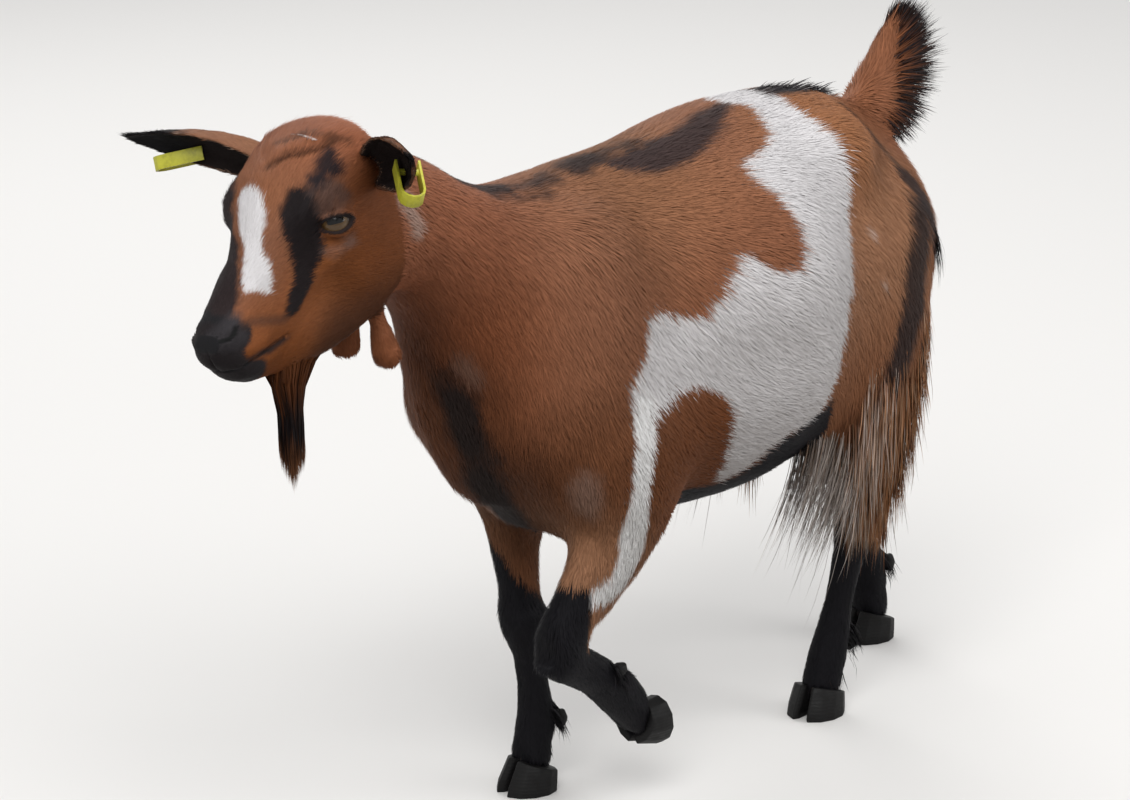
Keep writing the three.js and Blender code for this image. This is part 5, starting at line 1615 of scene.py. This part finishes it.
# %% Groin, seat, croup and back
n = 700
roots, _ = along_path([(88, -60, 292), (104, -84, 272), (128, -86, 262), (142, -74, 240)], n, (7, 9, 7))
both_sides("groin_hair", roots, (-0.35, -0.15, -0.9), (-0.5, 0.06, -0.87), random.uniform(50, 100, n), 0.6,
           {"#c2b3a8": 4, "#d0c4bc": 4, "#a98c76": 3}, {"#e0d8d3": 1, "#cfc5be": 1}, "coat_chestnut",
           rings=5, spread=0.09)
n = 260
roots, share = along_path([(222, -69, 494), (238, -82, 464), (242, -94, 438)], n, (3, 4, 4))
both_sides("seat_lock", roots, (0.45, -0.2, -0.85), (0.02, 0, -1), 34 + 14 * share, 1.1,
           "#231e21", "#1c191c", "coat_black", rings=4)
n = 420
roots, _ = along_path([(104, 0, 600), (140, 0, 590), (176, 0, 575), (200, 0, 560)], n, (4, 5, 3))
locks("croup_ridge", roots, (1, 0, 0.28), (1, 0, -0.1), 22, 0.9,
      "#262125", {"#2b2629": 4, "#8b8583": 1}, "coat_black", rings=3, spread=0.16)
n = 320
roots, _ = along_path([(-110, -12, 620), (-40, -16, 620), (40, -10, 618)], n, (6, 5, 3))
locks("back_ridge", roots, (1, -0.1, 0.2), (1, -0.1, -0.15), 24, 0.9,
      {"#262125": 3, "#8d5a3c": 1}, "#33292a", "coat_black", rings=3, spread=0.13)

# %% [markdown]
# ## Hocks and feet
# The hocks are shaggy, and a short fringe falls over the crown of each hoof. The roots are drawn on a band
# round the leg and then start at the skin nearest to them.

# %% Hocks and feet
def round_leg(middle, half, high, n):
    """Places round a leg, half as wide as given and within high mm above and below its middle."""
    turn = random.uniform(0, 2 * np.pi, n)
    around = np.stack([np.cos(turn) * half, np.sin(turn) * half, random.uniform(-high, high, n)], 1)
    return np.array(middle, float) + around


n = 700
roots = np.concatenate([round_leg(hock, 24, 22, n) for hock in ((186, -60, 196), (312, 64, 208))])
locks("hock_hair", roots, (0.05, 0, -1), (0, 0, -1), random.uniform(22, 40, len(roots)), 1.0,
      {"#2a2120": 4, "#6f4730": 3, "#1f1c1f": 4, "#a08a7c": 1}, {"#1e1b1e": 5, "#8c7466": 1, "#5a3d2e": 2},
      "coat_black", rings=4, spread=0.12)
n = 420
FEET = ((-150, 34, 36), (152, -40, 36), (341, 55, 36))      # right fore, left hind, right hind
roots = np.concatenate([round_leg(place, 24, 5, n) for place in FEET])
locks("coronet_hair", roots, (0, 0, -1), (0, 0, -1), random.uniform(8, 19, len(roots)), 0.9,
      {"#1b191c": 3, "#241f20": 1}, {"#1b191c": 4, "#3a302c": 1}, "coat_black", rings=2, spread=0.16)

# %% [markdown]
# ## Small hair
# Short hairs edge the ears, where brown and black meet. A row of white ones grows from an old scar on the
# poll, black locks hang over the dewclaws, and stiff lashes stand along the upper lids.

# %% Ears
n = 900
for name, (root, along, opening) in EAR_LINES.items():
    rim = np.nonzero((skin_owner == OWNERS.index(name)) & (np.abs(hollow - 0.5) < 0.42))[0]
    roots = skin_points[random.choice(rim, n)] + random.normal(0, 0.6, (n, 3))
    share = (roots - root) @ along / EAR_LENGTH
    dark = (share > BLACK_FROM[name][1] - 0.05)[:, None]
    locks(name + "_rim", roots, along + 0.12 * opening, along, np.where(share < 0.15, 5, 8), 0.5,
          np.where(dark, rgb("#171518"), colour_rows({"#8d6a55": 4, "#3b2c27": 2, "#b39c8c": 3}, n)),
          np.where(dark, rgb("#171518"), colour_rows({"#a88a76": 3, "#5b463c": 1}, n)), "coat_chestnut",
          rings=2, spread=0.1)

# %% The scar and the fetlocks
n = 90
roots, _ = along_path([in_head(-48, -6, 46), in_head(-47, 8, 45), in_head(-44, 22, 42)], n, 0.35)
locks("poll_scar", roots, 0.7 * HEAD_V - 0.2 * HEAD_U + HEAD_W, HEAD_V, 7.5, 0.6, "#ddd6d3", "#e4dfdc",
      "coat_chestnut", rings=2, spread=0.07)
n = 170
dewclaws = np.array([box_middle(name) * 1000 - SHIFT for name in CLAWS if "dew" in name])
outward = unit(dewclaws - nearest_on_skin(dewclaws)[0]).repeat(n, axis=0)
roots = dewclaws.repeat(n, axis=0) + (0, 0, 8) + random.normal(0, 6, outward.shape)
locks("fetlock_hair", roots, outward + (0, 0, -0.55), 0.25 * outward + (0, 0, -1),
      random.uniform(14, 25, len(roots)), 1.0, "#1a181b", "#1a181b", "coat_black", rings=3, spread=0.16)

# %% The lashes
lash_roots, lash_ways = [], []
for side, place in EYES.items():
    out, inner, up = eye_frame(side)
    for angle in np.linspace(-0.9, 0.85, 46):
        top = LID_UP * max(1 - (angle / LID_HALF) ** 2, 0) ** 0.6 + 0.08
        ray = (out * math.cos(angle) + inner * math.sin(angle)) * math.cos(top) + up * math.sin(top)
        lash_roots.append(place + ray @ HEAD_AXES * (EYE_RADIUS + 2.0))
        lash_ways.append((ray * 0.8 + inner * math.sin(angle) * 0.5 + (0.45, 0, -0.25)) @ HEAD_AXES)
lash_ways = np.array(lash_ways)
locks("eyelashes", np.array(lash_roots), lash_ways, lash_ways + (0, 0, -0.5), 7.0, 0.35,
      "#1c1a1c", "#1c1a1c", "coat_black", rings=3, spread=0.08)
